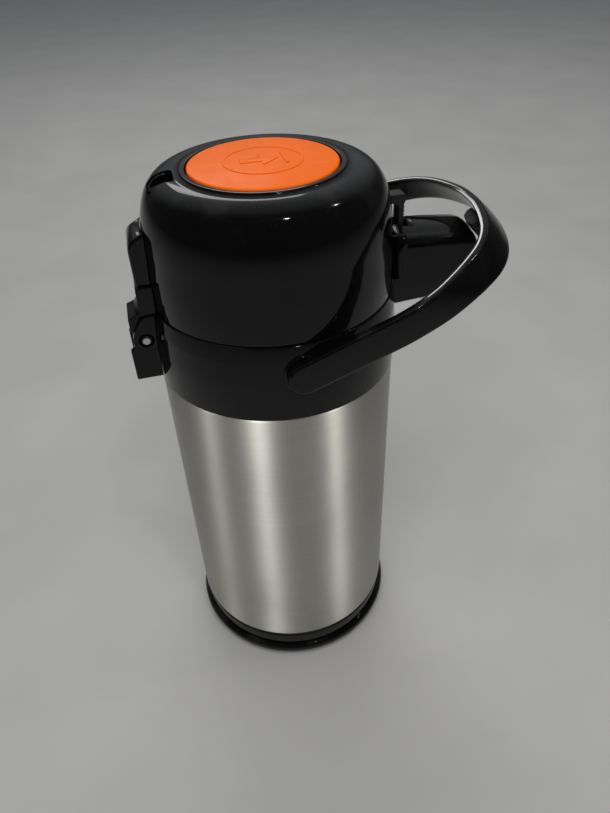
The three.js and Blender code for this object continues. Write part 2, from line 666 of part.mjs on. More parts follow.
addPart('bellows', bellows(), 'silicone');
addPart('return_spring', returnSpring(), 'fixingSteel');
addPart('pump_plate', turned([
  [0, 326.6], [29.5, 326.6], [29.5, 328.8], [0, 328.8],
], INNER_ROUND), 'whitePlastic');
addPart('button_carrier', turned([
  [0, 329.2], [7, 329.2], [7, 346], [37.2, 346], [37.2, 331.5], [39.4, 331.5], [39.4, 348.8], [0, 348.8],
]), 'blackGloss');
addPart('push_button', turned([
  [0, 349.2], [38.6, 349.2], [BUTTON_RADIUS, 350.4], [BUTTON_RADIUS, 355.4], [40, 356.3], [37, 356.9],
  [24, 357.4], [0, BUTTON_TOP],
]), 'orangeGloss');

// ---------------------------------------------------------------- bail handle
// The bail is drawn flat, arms toward -Y from a pivot at the origin, then tilted up about the pivot axis.
const handleGroup = new THREE.Group();
handleGroup.position.set(0, 0, HANDLE_Z);
handleGroup.rotation.x = -THREE.MathUtils.degToRad(HANDLE_TILT);
parts.add(handleGroup);

function bailOutline() {
  const outsideHalf = HANDLE_HALF_WIDTH;
  const spine = [
    [outsideHalf - 2.9, -20], [outsideHalf - 2.9, 8], [outsideHalf - 2.9, 40], [76.7, 60], [73.2, 79.6],
    [67.9, 93.2], [61.5, 105.8], [53.8, 117], [43.3, 125.6], [31, 131.3], [12, 136.1], [0, 136.8],
  ].map(([x, y]) => new THREE.Vector3(x, y, 0));
  const mirrored = spine.slice(0, -1).reverse().map((point) => new THREE.Vector3(-point.x, point.y, 0));
  const curve = new THREE.CatmullRomCurve3([...spine, ...mirrored], false, 'centripetal');
  const count = 48;
  const outside = [];
  const inside = [];
  for (let i = 0; i <= count; i += 1) {
    const point = curve.getPoint(i / count);
    const along = curve.getTangent(i / count);
    outside.push([point.x + along.y * (HANDLE_THICKNESS / 2), -(point.y - along.x * (HANDLE_THICKNESS / 2))]);
    inside.push([point.x - along.y * (HANDLE_THICKNESS / 2), -(point.y + along.x * (HANDLE_THICKNESS / 2))]);
  }
  return [...outside, ...inside.reverse()];
}

// Leans the strap outward at its lower edge, square to the bend and more and more toward the grip.
function flared(body) {
  const bendCentre = -62;
  return body.warp((point) => {
    const share = THREE.MathUtils.smoothstep(-point[1], 60, 135);
    const outward = new THREE.Vector2(point[0], point[1] - bendCentre).normalize();
    const push = (-HANDLE_FLARE * share * point[2]) / (HANDLE_STRAP / 2);
    point[0] += push * outward.x;
    point[1] += push * outward.y;
  });
}

function bailHandle() {
  const half = HANDLE_STRAP / 2;
  const end = half - 0.4;
  const sideView = [];
  for (let i = 0; i <= 16; i += 1) {
    const angle = Math.PI / 2 - (i / 16) * Math.PI;
    sideView.push([end * Math.cos(angle), end * Math.sin(angle)]);
  }
  sideView.push([-60, -half], [-150, -half], [-150, half], [-60, half]);
  const strap = common(upright(bailOutline(), -half, half), alongX(sideView, -90, 90));
  const bores = [-1, 1].map((side) => rodX(
    5.5,
    side < 0 ? -77.6 : 70,
    side < 0 ? -70 : 77.6,
    0,
    0,
    24,
  ));
  return cut(flared(strap), ...bores);
}

function bailCatch() {
  const body = upright([
    [-7.5, -132.5], [-8.5, -128.5], [-12, -125], [-21, -122.4], [-24.4, -123.8], [-25, -129.2],
    [-16, -131.5],
  ], -8.4, 4.6);
  return flared(body);
}

addPart('bail_handle', bailHandle(), 'blackGloss', handleGroup);
addPart('bail_catch', bailCatch(), 'rubber', handleGroup);
[-1, 1].forEach((side) => {
  const neck = rodX(3, side < 0 ? -74 : 64.5, side < 0 ? -64.5 : 74, 0, HANDLE_Z);
  const journal = rodX(5.1, side < 0 ? -77.2 : 74, side < 0 ? -74 : 77.2, 0, HANDLE_Z, 24);
  const head = rodX(4.1, side < 0 ? -67 : 64.5, side < 0 ? -64.5 : 67, 0, HANDLE_Z, 16);
  addPart(side < 0 ? 'handle_stud_left' : 'handle_stud_right', join(neck, journal, head), 'fixingSteel');
});

export default airpot;
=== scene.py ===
"""Looks of the push-button thermal airpot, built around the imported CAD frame.

Lengths are millimetres in the frame of the CAD model (+Z up, spout to -Y, lid hinge to +Y), and become metres
in add_piece.
"""

import json
import math

import bmesh
import bpy
from mathutils import Matrix, Vector


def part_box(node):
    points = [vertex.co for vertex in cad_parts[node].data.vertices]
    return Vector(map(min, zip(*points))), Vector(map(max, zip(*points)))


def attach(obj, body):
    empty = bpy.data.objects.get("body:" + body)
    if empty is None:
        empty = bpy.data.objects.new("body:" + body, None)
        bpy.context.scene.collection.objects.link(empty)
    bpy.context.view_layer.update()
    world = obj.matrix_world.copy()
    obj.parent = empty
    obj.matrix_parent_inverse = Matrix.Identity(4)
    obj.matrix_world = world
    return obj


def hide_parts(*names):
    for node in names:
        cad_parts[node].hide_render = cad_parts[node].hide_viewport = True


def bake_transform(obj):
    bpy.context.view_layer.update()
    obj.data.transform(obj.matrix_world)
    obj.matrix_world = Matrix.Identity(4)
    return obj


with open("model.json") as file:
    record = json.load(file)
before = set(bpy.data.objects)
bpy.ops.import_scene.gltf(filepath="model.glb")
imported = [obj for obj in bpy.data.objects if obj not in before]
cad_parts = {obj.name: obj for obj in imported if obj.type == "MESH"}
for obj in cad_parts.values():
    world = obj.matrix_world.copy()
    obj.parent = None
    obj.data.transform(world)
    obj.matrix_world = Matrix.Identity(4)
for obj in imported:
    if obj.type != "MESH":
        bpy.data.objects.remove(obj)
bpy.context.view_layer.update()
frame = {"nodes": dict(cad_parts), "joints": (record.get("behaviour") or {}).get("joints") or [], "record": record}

METRE = 1000.0  # millimetres in a metre
ROUND = 192  # segments of the large turned pieces
SLEEVE_ROUND = 256  # segments of the sleeve
LID_ROUND = 224  # segments of the dome and the button
FINE_ROUND = 96  # segments of the turned pieces inside
SMALL_ROUND = 40  # segments of screws, pins and knuckles
ARC_STEP = math.radians(9)  # turn of one step of a rounded corner
SHARP = math.radians(38)  # edges sharper than this stay crisp in the shading
BEVELLED = math.radians(32)  # edges sharper than this get a bevel
STRAIGHT = 0.02  # radians: a corner flatter than this gets no arc
LONGEST_ARC = 0.48  # the most of a side that the arc at one end may use
ON_AXIS = 1e-4  # radius below which a turned point lies on the axis


def span(node):
    """Lowest and highest corner of a CAD node, in millimetres."""
    low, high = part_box(node)
    return low * METRE, high * METRE


def joint_place(name):
    """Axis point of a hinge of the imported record, in millimetres."""
    joint = next(joint for joint in frame["joints"] if joint["name"] == name)
    return Vector(joint["pos_m"]) * METRE


SHELL_LOW, SHELL_HIGH = span("steel_shell")
DOME_LOW, DOME_HIGH = span("lid_dome")
BUTTON_LOW, BUTTON_HIGH = span("push_button")
NOZZLE_LOW, NOZZLE_HIGH = span("spout_nozzle")
BASE_HIGH = span("swivel_base")[1]
CAP_HIGH = span("bottom_cap")[1]
HANDLE_HIGH = span("bail_handle")[1]

BASE_RADIUS = BASE_HIGH.x
SHELL_RADIUS = SHELL_HIGH.x
DOME_RADIUS = DOME_HIGH.x
BUTTON_RADIUS = BUTTON_HIGH.x
COLLAR_RADIUS = SHELL_RADIUS + 0.6
COLLAR_TOP = DOME_LOW.z - 0.6
LIP = 1.2  # height of the raised lip round the button well
SEAM_Z = 285.0  # height of the seam between the nose cover and the tray below it
HINGE = joint_place("lid_hinge")
LATCH = joint_place("latch_hinge")
HANDLE = joint_place("bail_hinge")
HANDLE_TILT = math.radians(20)
NOZZLE_Y = (NOZZLE_LOW.y + NOZZLE_HIGH.y) / 2


# ---------------------------------------------------------------- outlines
def turn(vector, angle):
    """A 2-D vector turned by an angle."""
    cosine, sine = math.cos(angle), math.sin(angle)
    return Vector((vector.x * cosine - vector.y * sine, vector.x * sine + vector.y * cosine))


def rounded(corners):
    """Points of a closed outline of (x, y, radius) corners, with an arc at each corner that has a radius."""
    points = []
    for i, (x, y, radius) in enumerate(corners):
        here = Vector((x, y))
        before = Vector(corners[i - 1][:2]) - here
        after = Vector(corners[(i + 1) % len(corners)][:2]) - here
        half = before.angle(after, math.pi) / 2
        if radius == 0 or half > math.pi / 2 - STRAIGHT:
            points.append(here)
            continue
        reach = min(radius / math.tan(half), LONGEST_ARC * before.length, LONGEST_ARC * after.length)
        middle = (before.normalized() + after.normalized()).normalized()
        centre = here + middle * (reach / math.cos(half))
        start = here + before.normalized() * reach - centre
        stop = here + after.normalized() * reach - centre
        sweep = math.atan2(start.x * stop.y - start.y * stop.x, start.dot(stop))
        steps = max(2, math.ceil(abs(sweep) / ARC_STEP))
        points += [centre + turn(start, sweep * k / steps) for k in range(steps + 1)]
    return points


def smooth_through(points, steps):
    """A smooth open curve through points, with some steps between each two (centripetal Catmull-Rom)."""
    points = [Vector(point) for point in points]
    first = 2 * points[0] - points[1]
    last = 2 * points[-1] - points[-2]
    padded = [first, *points, last]
    curve = []
    for i in range(1, len(padded) - 2):
        p = padded[i - 1 : i + 3]
        knots = [0.0]
        for a, b in zip(p, p[1:]):
            knots.append(knots[-1] + math.sqrt((b - a).length))
        for k in range(steps):
            t = knots[1] + (knots[2] - knots[1]) * k / steps
            level = list(p)
            for depth in (1, 2, 3):
                level = [
                    (level[j] * (knots[j + depth] - t) + level[j + 1] * (t - knots[j]))
                    / (knots[j + depth] - knots[j])
                    if depth < 3
                    else (level[0] * (knots[2] - t) + level[1] * (t - knots[1])) / (knots[2] - knots[1])
                    for j in range(len(level) - 1)
                ]
            curve.append(level[0])
    curve.append(points[-1])
    return curve


# ---------------------------------------------------------------- making pieces
def add_piece(name, vertices, faces):
    """A mesh object from millimetre points, with its faces turned outward."""
    mesh = bpy.data.meshes.new(name)
    mesh.from_pydata([Vector(vertex) / METRE for vertex in vertices], [], faces)
    work = bmesh.new()
    work.from_mesh(mesh)
    bmesh.ops.recalc_face_normals(work, faces=work.faces)
    work.to_mesh(mesh)
    work.free()
    piece = bpy.data.objects.new(name, mesh)
    bpy.context.scene.collection.objects.link(piece)
    shade(piece)
    return piece


def shade(piece):
    """Smooth shading with the sharp edges left crisp."""
    piece.data.shade_smooth()
    piece.data.set_sharp_from_angle(angle=SHARP)


def settle(piece):
    """Applies the modifiers of a piece to its mesh."""
    bpy.context.view_layer.update()
    seen = piece.evaluated_get(bpy.context.evaluated_depsgraph_get())
    mesh = bpy.data.meshes.new_from_object(seen)
    piece.modifiers.clear()
    piece.data = mesh
    mesh.name = piece.name
    shade(piece)
    return piece


def soften(piece, width, segments=3):
    """Rounds the crisp edges of a piece and keeps its flat faces flat in the shading."""
    bevel = piece.modifiers.new("bevel", "BEVEL")
    bevel.width = width / METRE
    bevel.segments = segments
    bevel.limit_method = "ANGLE"
    bevel.angle_limit = BEVELLED
    bevel.use_clamp_overlap = True
    weights = piece.modifiers.new("normals", "WEIGHTED_NORMAL")
    weights.keep_sharp = True
    return settle(piece)


def combine(operation, piece, *others):
    """Cuts a piece with others, or trims it to them, and deletes them."""
    for other in others:
        boolean = piece.modifiers.new("combine", "BOOLEAN")
        boolean.operation = operation
        boolean.solver = "EXACT"
        boolean.object = other
    settle(piece)
    for other in others:
        bpy.data.objects.remove(other)
    return piece


def carve(piece, *cutters):
    """Cuts the cutters out of a piece."""
    return combine("DIFFERENCE", piece, *cutters)


def trim_to(piece, *limits):
    """Keeps what lies inside all the limits."""
    return combine("INTERSECT", piece, *limits)


def without_repeats(corners):
    """The corners of a face, each one once."""
    return [corner for i, corner in enumerate(corners) if corner not in corners[:i]]


def turned(name, corners, segments=ROUND, axis="Z", centre=(0, 0, 0)):
    """An outline of (radius, height, corner radius) turned about an axis through a centre."""
    outline = rounded(corners)
    vertices, rows, faces = [], [], []
    for point in outline:
        count = 1 if point.x < ON_AXIS else segments
        rows.append([len(vertices) + k for k in range(count)])
        for k in range(count):
            angle = 2 * math.pi * k / segments
            flat = (point.x * math.cos(angle), point.x * math.sin(angle))
            corner = {
                "Z": (*flat, point.y),
                "X": (point.y, *flat),
                "Y": (flat[1], point.y, flat[0]),
            }[axis]
            vertices.append(Vector(corner) + Vector(centre))
    for i, row in enumerate(rows):
        other = rows[(i + 1) % len(rows)]
        if len(row) == 1 and len(other) == 1:
            continue
        for k in range(segments):
            a, b = row[k % len(row)], row[(k + 1) % len(row)]
            c, d = other[(k + 1) % len(other)], other[k % len(other)]
            faces.append(without_repeats((a, b, c, d)))
    return add_piece(name, vertices, faces)


def slab(name, corners, low, high, axis, bevel=0.0):
    """An outline of (u, v, corner radius) drawn along an axis from low to high, with its edges rounded."""
    outline = rounded(corners)
    count = len(outline)
    vertices = []
    for level in (low, high):
        for point in outline:
            vertices.append({
                "X": (level, point.x, point.y),
                "Y": (point.x, level, point.y),
                "Z": (point.x, point.y, level),
            }[axis])
    faces = [list(range(count)), list(range(count, 2 * count))]
    faces += [[i, (i + 1) % count, count + (i + 1) % count, count + i] for i in range(count)]
    piece = add_piece(name, vertices, faces)
    return soften(piece, bevel) if bevel else piece


def block(name, low, high, bevel=0.0):
    """A box between two corners."""
    corners = [(low[0], low[1], 0), (high[0], low[1], 0), (high[0], high[1], 0), (low[0], high[1], 0)]
    return slab(name, corners, low[2], high[2], "Z", bevel)


def lofted(name, sections):
    """A skin through sections of equal point count, closed by a flat face at each end."""
    count = len(sections[0])
    vertices = [point for section in sections for point in section]
    faces = [list(range(count)), list(range(len(vertices) - count, len(vertices)))]
    for row in range(len(sections) - 1):
        start = row * count
        for i in range(count):
            j = (i + 1) % count
            faces.append([start + i, start + j, start + count + j, start + count + i])
    return add_piece(name, vertices, faces)


def joined(name, *pieces):
    """Several pieces as one object."""
    mesh = bpy.data.meshes.new(name)
    work = bmesh.new()
    for piece in pieces:
        work.from_mesh(piece.data)
    work.to_mesh(mesh)
    work.free()
    whole = bpy.data.objects.new(name, mesh)
    bpy.context.scene.collection.objects.link(whole)
    for piece in pieces:
        bpy.data.objects.remove(piece)
    shade(whole)
    return whole


# ---------------------------------------------------------------- materials
MIX_FACTOR, MIX_A, MIX_B, MIX_RESULT = 0, 6, 7, 2  # sockets of a Mix node that blends colours


class Nodes:
    """A small helper that adds shader nodes and links them by name."""

    def __init__(self, name):
        self.material = bpy.data.materials.new(name)
        self.material.use_nodes = True
        self.tree = self.material.node_tree
        self.shader = self.tree.nodes["Principled BSDF"]
        self.place = self.add("ShaderNodeTexCoord").outputs["Object"]

    def add(self, kind, inputs=None, **settings):
        """A new node with some settings, and values or links on its inputs."""
        node = self.tree.nodes.new(kind)
        for key, value in settings.items():
            setattr(node, key, value)
        for key, value in (inputs or {}).items():
            self.feed(node.inputs[key], value)
        return node

    def feed(self, socket, value):
        """Links an output to a socket, or sets a plain value on it."""
        if isinstance(value, bpy.types.NodeSocket):
            self.tree.links.new(value, socket)
        else:
            socket.default_value = value

    def set(self, **values):
        """Values or links for the shader's inputs, with _ for the spaces in their names."""
        for key, value in values.items():
            self.feed(self.shader.inputs[key.replace("_", " ")], value)

    def stretched(self, scale):
        """The place on the object, drawn out along the axes."""
        return self.add("ShaderNodeMapping", {"Vector": self.place, "Scale": scale}).outputs["Vector"]

    def noise(self, scale, detail=3.0, stretch=None):
        """Soft noise from 0 to 1, with about scale bumps to a metre."""
        vector = self.stretched(stretch) if stretch else self.place
        inputs = {"Vector": vector, "Scale": scale, "Detail": detail}
        return self.add("ShaderNodeTexNoise", inputs).outputs["Fac"]

    def spots(self, scale, size, keep):
        """Small specks, 1 on the speck and 0 off it, in a share keep of the cells of a pattern."""
        cells = self.add("ShaderNodeTexVoronoi", {"Vector": self.place, "Scale": scale})
        speck = self.ramp(cells.outputs["Distance"], (0.0, size), (1.0, 0.0))
        chosen = self.add("ShaderNodeSeparateColor", {"Color": cells.outputs["Color"]}).outputs["Red"]
        return self.math("MULTIPLY", speck, self.ramp(chosen, (keep, keep + 0.02), (1.0, 0.0)))

    def ramp(self, value, reach, to):
        """A value over one range brought to another, and held at its ends."""
        inputs = {
            "Value": value, "From Min": reach[0], "From Max": reach[1], "To Min": to[0], "To Max": to[1],
        }
        return self.add("ShaderNodeMapRange", inputs).outputs["Result"]

    def math(self, operation, a, b):
        """The result of an arithmetic operation on two values or outputs."""
        node = self.add("ShaderNodeMath", operation=operation)
        self.feed(node.inputs[0], a)
        self.feed(node.inputs[1], b)
        return node.outputs["Value"]

    def mix(self, factor, a, b):
        """A blend of two colours, each a tuple or an output."""
        node = self.add("ShaderNodeMix", data_type="RGBA")
        self.feed(node.inputs[MIX_FACTOR], factor)
        for socket, color in ((MIX_A, a), (MIX_B, b)):
            self.feed(node.inputs[socket], (*color, 1.0) if isinstance(color, tuple) else color)
        return node.outputs[MIX_RESULT]

    def facing_up(self):
        """1 where the surface looks up, and 0 where it is upright or looks down."""
        normal = self.add("ShaderNodeNewGeometry").outputs["Normal"]
        height = self.add("ShaderNodeSeparateXYZ", {"Vector": normal}).outputs["Z"]
        return self.ramp(height, (0.15, 0.85), (0.0, 1.0))

    def bump(self, height, strength, distance):
        """Relief of the surface from a height."""
        inputs = {"Height": height, "Strength": strength, "Distance": distance}
        self.feed(self.shader.inputs["Normal"], self.add("ShaderNodeBump", inputs).outputs["Normal"])


DUST_COLOR = (0.42, 0.40, 0.37)
SPECK_STRENGTH = 4  # how much stronger a speck of dust is than the film


def gloss_plastic(name, color, worn, roughness, dust, density):
    """Moulded plastic with a hard shine, faint smears, hairlines and dust on top. density is optical."""
    nodes = Nodes(name)
    smears = nodes.noise(38, 5, stretch=(1.0, 1.0, 0.45))
    flow = nodes.noise(9, 2)
    hairs = nodes.noise(260, 2, stretch=(1.0, 0.06, 0.35))
    specks = nodes.math("MULTIPLY", nodes.spots(620, 0.17, 0.22), nodes.facing_up())
    film = nodes.math("MULTIPLY", nodes.ramp(smears, (0.52, 0.75), (0.0, dust)), nodes.facing_up())
    tint = nodes.mix(nodes.ramp(flow, (0.35, 0.7), (0.0, 1.0)), color, worn)
    settled = nodes.math("MAXIMUM", film, nodes.math("MULTIPLY", specks, dust * SPECK_STRENGTH))
    dusted = nodes.mix(settled, tint, DUST_COLOR)
    rough = nodes.ramp(smears, (0.4, 0.72), (roughness * 0.75, roughness * 1.7))
    rough = nodes.math("ADD", rough, nodes.ramp(hairs, (0.68, 0.78), (0.0, 0.12)))
    rough = nodes.math("ADD", rough, nodes.math("MULTIPLY", specks, 0.3))
    nodes.set(Base_Color=dusted, Roughness=rough, IOR=density)
    nodes.bump(nodes.noise(160, 3), 0.05, 0.0004)
    return nodes.material


def matte_plastic(name, color, worn, roughness):
    """Moulded plastic with the fine spark-eroded grain of a tool."""
    nodes = Nodes(name)
    grain = nodes.noise(1500, 3)
    patches = nodes.noise(30, 3)
    nodes.set(
        Base_Color=nodes.mix(nodes.ramp(patches, (0.35, 0.7), (0.0, 1.0)), color, worn),
        Roughness=nodes.ramp(grain, (0.3, 0.7), (roughness * 0.88, roughness * 1.14)),
    )
    nodes.bump(grain, 0.22, 0.0002)
    return nodes.material


def rubber(name, color, worn, roughness):
    """Soft rubber or silicone with a fine grain and pale scuffs."""
    nodes = Nodes(name)
    grain = nodes.noise(900, 4)
    scuffs = nodes.noise(70, 5)
    nodes.set(
        Base_Color=nodes.mix(nodes.ramp(scuffs, (0.45, 0.7), (0.0, 1.0)), color, worn),
        Roughness=nodes.ramp(grain, (0.3, 0.7), (roughness * 0.9, min(1.0, roughness * 1.1))),
    )
    nodes.bump(grain, 0.3, 0.0003)
    return nodes.material


def brushed_steel(name, color, roughness, strokes, anisotropy):
    """Steel brushed around the vertical axis: fine level strokes, and highlights drawn out upright."""
    nodes = Nodes(name)
    fine = nodes.noise(1, 3, stretch=(22, 22, strokes))
    coarse = nodes.noise(1, 2, stretch=(9, 9, strokes * 0.16))
    blotches = nodes.noise(14, 3)
    marks = nodes.spots(210, 0.05, 0.05)
    strength = nodes.math("ADD", fine, nodes.math("MULTIPLY", coarse, 0.5))
    dark = tuple(channel * 0.93 for channel in color)
    tint = nodes.mix(nodes.ramp(strength, (0.5, 1.0), (0.0, 1.0)), dark, color)
    tint = nodes.mix(nodes.math("MULTIPLY", marks, 0.5), tint, (0.8, 0.78, 0.74))
    rough = nodes.ramp(blotches, (0.3, 0.7), (roughness * 0.9, roughness * 1.12))
    nodes.set(
        Base_Color=tint, Metallic=1.0, Roughness=rough, Anisotropic=anisotropy, Anisotropic_Rotation=0.25,
    )
    tangent = nodes.add("ShaderNodeTangent", direction_type="RADIAL", axis="Z")
    nodes.feed(nodes.shader.inputs["Tangent"], tangent.outputs["Tangent"])
    nodes.bump(fine, 0.05, 0.0001)
    return nodes.material


def turned_steel(name, color, roughness):
    """Bright fixings with a fine machined finish."""
    nodes = Nodes(name)
    fine = nodes.noise(900, 3)
    nodes.set(
        Base_Color=nodes.mix(nodes.ramp(fine, (0.4, 0.6), (0.0, 1.0)), tuple(c * 0.85 for c in color), color),
        Metallic=1.0,
        Roughness=nodes.ramp(fine, (0.3, 0.7), (roughness * 0.8, roughness * 1.2)),
    )
    nodes.bump(fine, 0.1, 0.0001)
    return nodes.material


MATERIALS = {
    "black_gloss": gloss_plastic(
        "black_gloss", (0.0022, 0.0022, 0.0024), (0.0045, 0.0045, 0.0047),
        roughness=0.075, dust=0.04, density=1.34,
    ),
    "orange_gloss": gloss_plastic(
        "orange_gloss", (0.94, 0.145, 0.003), (0.97, 0.17, 0.005), roughness=0.3, dust=0.03, density=1.16,
    ),
    "black_matte": matte_plastic("black_matte", (0.012, 0.012, 0.013), (0.02, 0.02, 0.02), 0.42),
    "white_plastic": matte_plastic("white_plastic", (0.72, 0.70, 0.65), (0.78, 0.76, 0.71), 0.4),
    "brushed_steel": brushed_steel("brushed_steel", (0.47, 0.465, 0.43), 0.43, 900, 0.87),
    "liner_steel": brushed_steel("liner_steel", (0.68, 0.67, 0.65), 0.26, 900, 0.5),
    "fixing_steel": turned_steel("fixing_steel", (0.62, 0.61, 0.59), 0.25),
    "rubber": rubber("rubber", (0.012, 0.012, 0.012), (0.022, 0.022, 0.021), 0.7),
    "silicone": rubber("silicone", (0.60, 0.58, 0.53), (0.66, 0.64, 0.59), 0.5),
}


def place(piece, body, slot, *nodes):
    """Gives a piece its material and body, and hides the CAD nodes that it stands for."""
    piece.data.materials.clear()
    piece.data.materials.append(MATERIALS[slot])
    if nodes:
        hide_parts(*nodes)
    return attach(piece, body)


# ---------------------------------------------------------------- camera, floor and light
CAMERA_POSITION = Vector((-341.7, 63.3, 471.5))  # millimetres
CAMERA_HEADING, CAMERA_TILT, CAMERA_ROLL = -103.19, 50.81, -2.58  # degrees
FOCAL_LENGTH, SENSOR_WIDTH = 28.78, 36.0  # millimetres


def add_camera():
    """The viewpoint: behind the left side, looking down on the pot."""
    data = bpy.data.cameras.new("camera")
    data.lens = FOCAL_LENGTH
    data.sensor_width = SENSOR_WIDTH
    camera = bpy.data.objects.new("camera", data)
    heading = Matrix.Rotation(math.radians(CAMERA_HEADING), 4, "Z")
    tilt = Matrix.Rotation(math.radians(CAMERA_TILT), 4, "X")
    roll = Matrix.Rotation(math.radians(CAMERA_ROLL), 4, "Z")
    camera.matrix_world = Matrix.Translation(CAMERA_POSITION / METRE) @ heading @ tilt @ roll
    bpy.context.scene.collection.objects.link(camera)
    bpy.context.scene.camera = camera


def add_floor():
    """A plain pale floor, just below the foot of the pot."""
    half, level = 6 * METRE, -0.05
    corners = [(-half, -half, level), (half, -half, level), (half, half, level), (-half, half, level)]
    floor = add_piece("floor", corners, [[0, 1, 2, 3]])
    nodes = Nodes("floor")
    mottle = nodes.ramp(nodes.noise(7, 4), (0.3, 0.7), (0.0, 1.0))
    nodes.set(Base_Color=nodes.mix(mottle, (0.48, 0.48, 0.475), (0.53, 0.53, 0.525)), Roughness=0.5)
    floor.data.materials.append(nodes.material)


LIGHT_COLOR = (1.0, 0.985, 0.96)
LIGHT_AIM = Vector((0, 0, 0.2))  # the middle of the pot, in metres


def add_light(name, azimuth, elevation, distance, size, power, mirrored=True, only=None):
    """A soft panel that faces the pot from an azimuth and elevation in degrees, at a distance in metres.

    Its size is (width, height) in metres. When mirrored is off, reflections don't show it, and when only is a
    collection, it lights nothing but what is in that.
    """
    data = bpy.data.lights.new(name, "AREA")
    data.shape = "RECTANGLE"
    data.size, data.size_y = size
    data.energy = power
    data.color = LIGHT_COLOR
    light = bpy.data.objects.new(name, data)
    light.visible_camera = False
    light.visible_glossy = mirrored
    if only:
        light.light_linking.receiver_collection = only
    around, up = math.radians(azimuth), math.radians(elevation)
    direction = Vector((math.cos(around) * math.cos(up), math.sin(around) * math.cos(up), math.sin(up)))
    light.location = LIGHT_AIM + direction * distance
    light.rotation_euler = direction.to_track_quat("Z", "Y").to_euler()
    bpy.context.scene.collection.objects.link(light)


GLOW_DIRECTION = Vector((0.62, -0.1, 0.78)).normalized()
GLOW_REACH = (0.55, 1.0)  # cosine of the angle to the glow, at its edge and at its middle
GLOW_STRENGTH = (0.05, 0.42)  # outside the glow and at its middle
BACKDROP_STRENGTH = 0.38  # what the camera sees behind the floor
WORLD_COLOR = (0.93, 0.96, 1.0, 1.0)


def add_world():
    """Dim surroundings with a broad soft glow high over the far side of the pot, on a paler backdrop."""
    world = bpy.data.worlds.new("studio")
    world.use_nodes = True
    tree = world.node_tree
    direction = tree.nodes.new("ShaderNodeTexCoord").outputs["Generated"]
    facing = tree.nodes.new("ShaderNodeVectorMath")
    facing.operation = "DOT_PRODUCT"
    tree.links.new(direction, facing.inputs[0])
    facing.inputs[1].default_value = GLOW_DIRECTION
    glow = tree.nodes.new("ShaderNodeMapRange")
    glow.interpolation_type = "SMOOTHSTEP"
    glow.inputs["From Min"].default_value, glow.inputs["From Max"].default_value = GLOW_REACH
    glow.inputs["To Min"].default_value, glow.inputs["To Max"].default_value = GLOW_STRENGTH
    tree.links.new(facing.outputs["Value"], glow.inputs["Value"])
    seen = tree.nodes.new("ShaderNodeLightPath")
    backdrop = tree.nodes.new("ShaderNodeMath")
    backdrop.operation = "MULTIPLY"
    tree.links.new(seen.outputs["Is Camera Ray"], backdrop.inputs[0])
    backdrop.inputs[1].default_value = BACKDROP_STRENGTH
    brighter = tree.nodes.new("ShaderNodeMath")
    brighter.operation = "MAXIMUM"
    tree.links.new(glow.outputs["Result"], brighter.inputs[0])
    tree.links.new(backdrop.outputs["Value"], brighter.inputs[1])
    background = tree.nodes["Background"]
    background.inputs["Color"].default_value = WORLD_COLOR
    tree.links.new(brighter.outputs["Value"], background.inputs["Strength"])
    bpy.context.scene.world = world
    bpy.context.scene.view_settings.view_transform = "Standard"


# The upright panels that draw the bright bands on the sleeve: name, azimuth, distance, width and power.
STRIPS = (
    ("strip_edge", 39, 1.3, 0.04, 1.0),
    ("strip_left", 104, 1.3, 0.05, 3.0),
    ("strip_broad", 149, 1.4, 0.24, 9.5),
    ("strip_right", 215, 1.3, 0.07, 5.8),
    ("strip_far", 301, 1.3, 0.04, 1.0),
)
STRIP_ELEVATION, STRIP_HEIGHT = 12, 0.5
SPARKLE_SIZE = (0.05, 0.05)  # of the small lamps that leave a spark on the dome

add_camera()
add_floor()
add_world()
sleeve_only = bpy.data.collections.new("sleeve_only")
bail_only = bpy.data.collections.new("bail_only")
add_light("overhead", 165, 62, 1.9, (1.5, 1.5), 20.5, mirrored=False)
add_light("far_fill", -10, 50, 2.6, (1.6, 1.0), 16, mirrored=False)
add_light("behind", 5, 33, 1.7, (0.8, 0.3), 7, only=bail_only)
add_light("behind_soft", -4, 31, 1.7, (0.6, 0.22), 1.1)
for label, azimuth, distance, width, power in STRIPS:
    add_light(label, azimuth, STRIP_ELEVATION, distance, (width, STRIP_HEIGHT), power, only=sleeve_only)
add_light("sparkle_front", 196, 62, 1.4, SPARKLE_SIZE, 1.2)
add_light("sparkle_right", 262, 52, 1.4, SPARKLE_SIZE, 0.7)


# ---------------------------------------------------------------- swivel base
GROOVE_DEPTH = 0.5  # of the rings under the foot


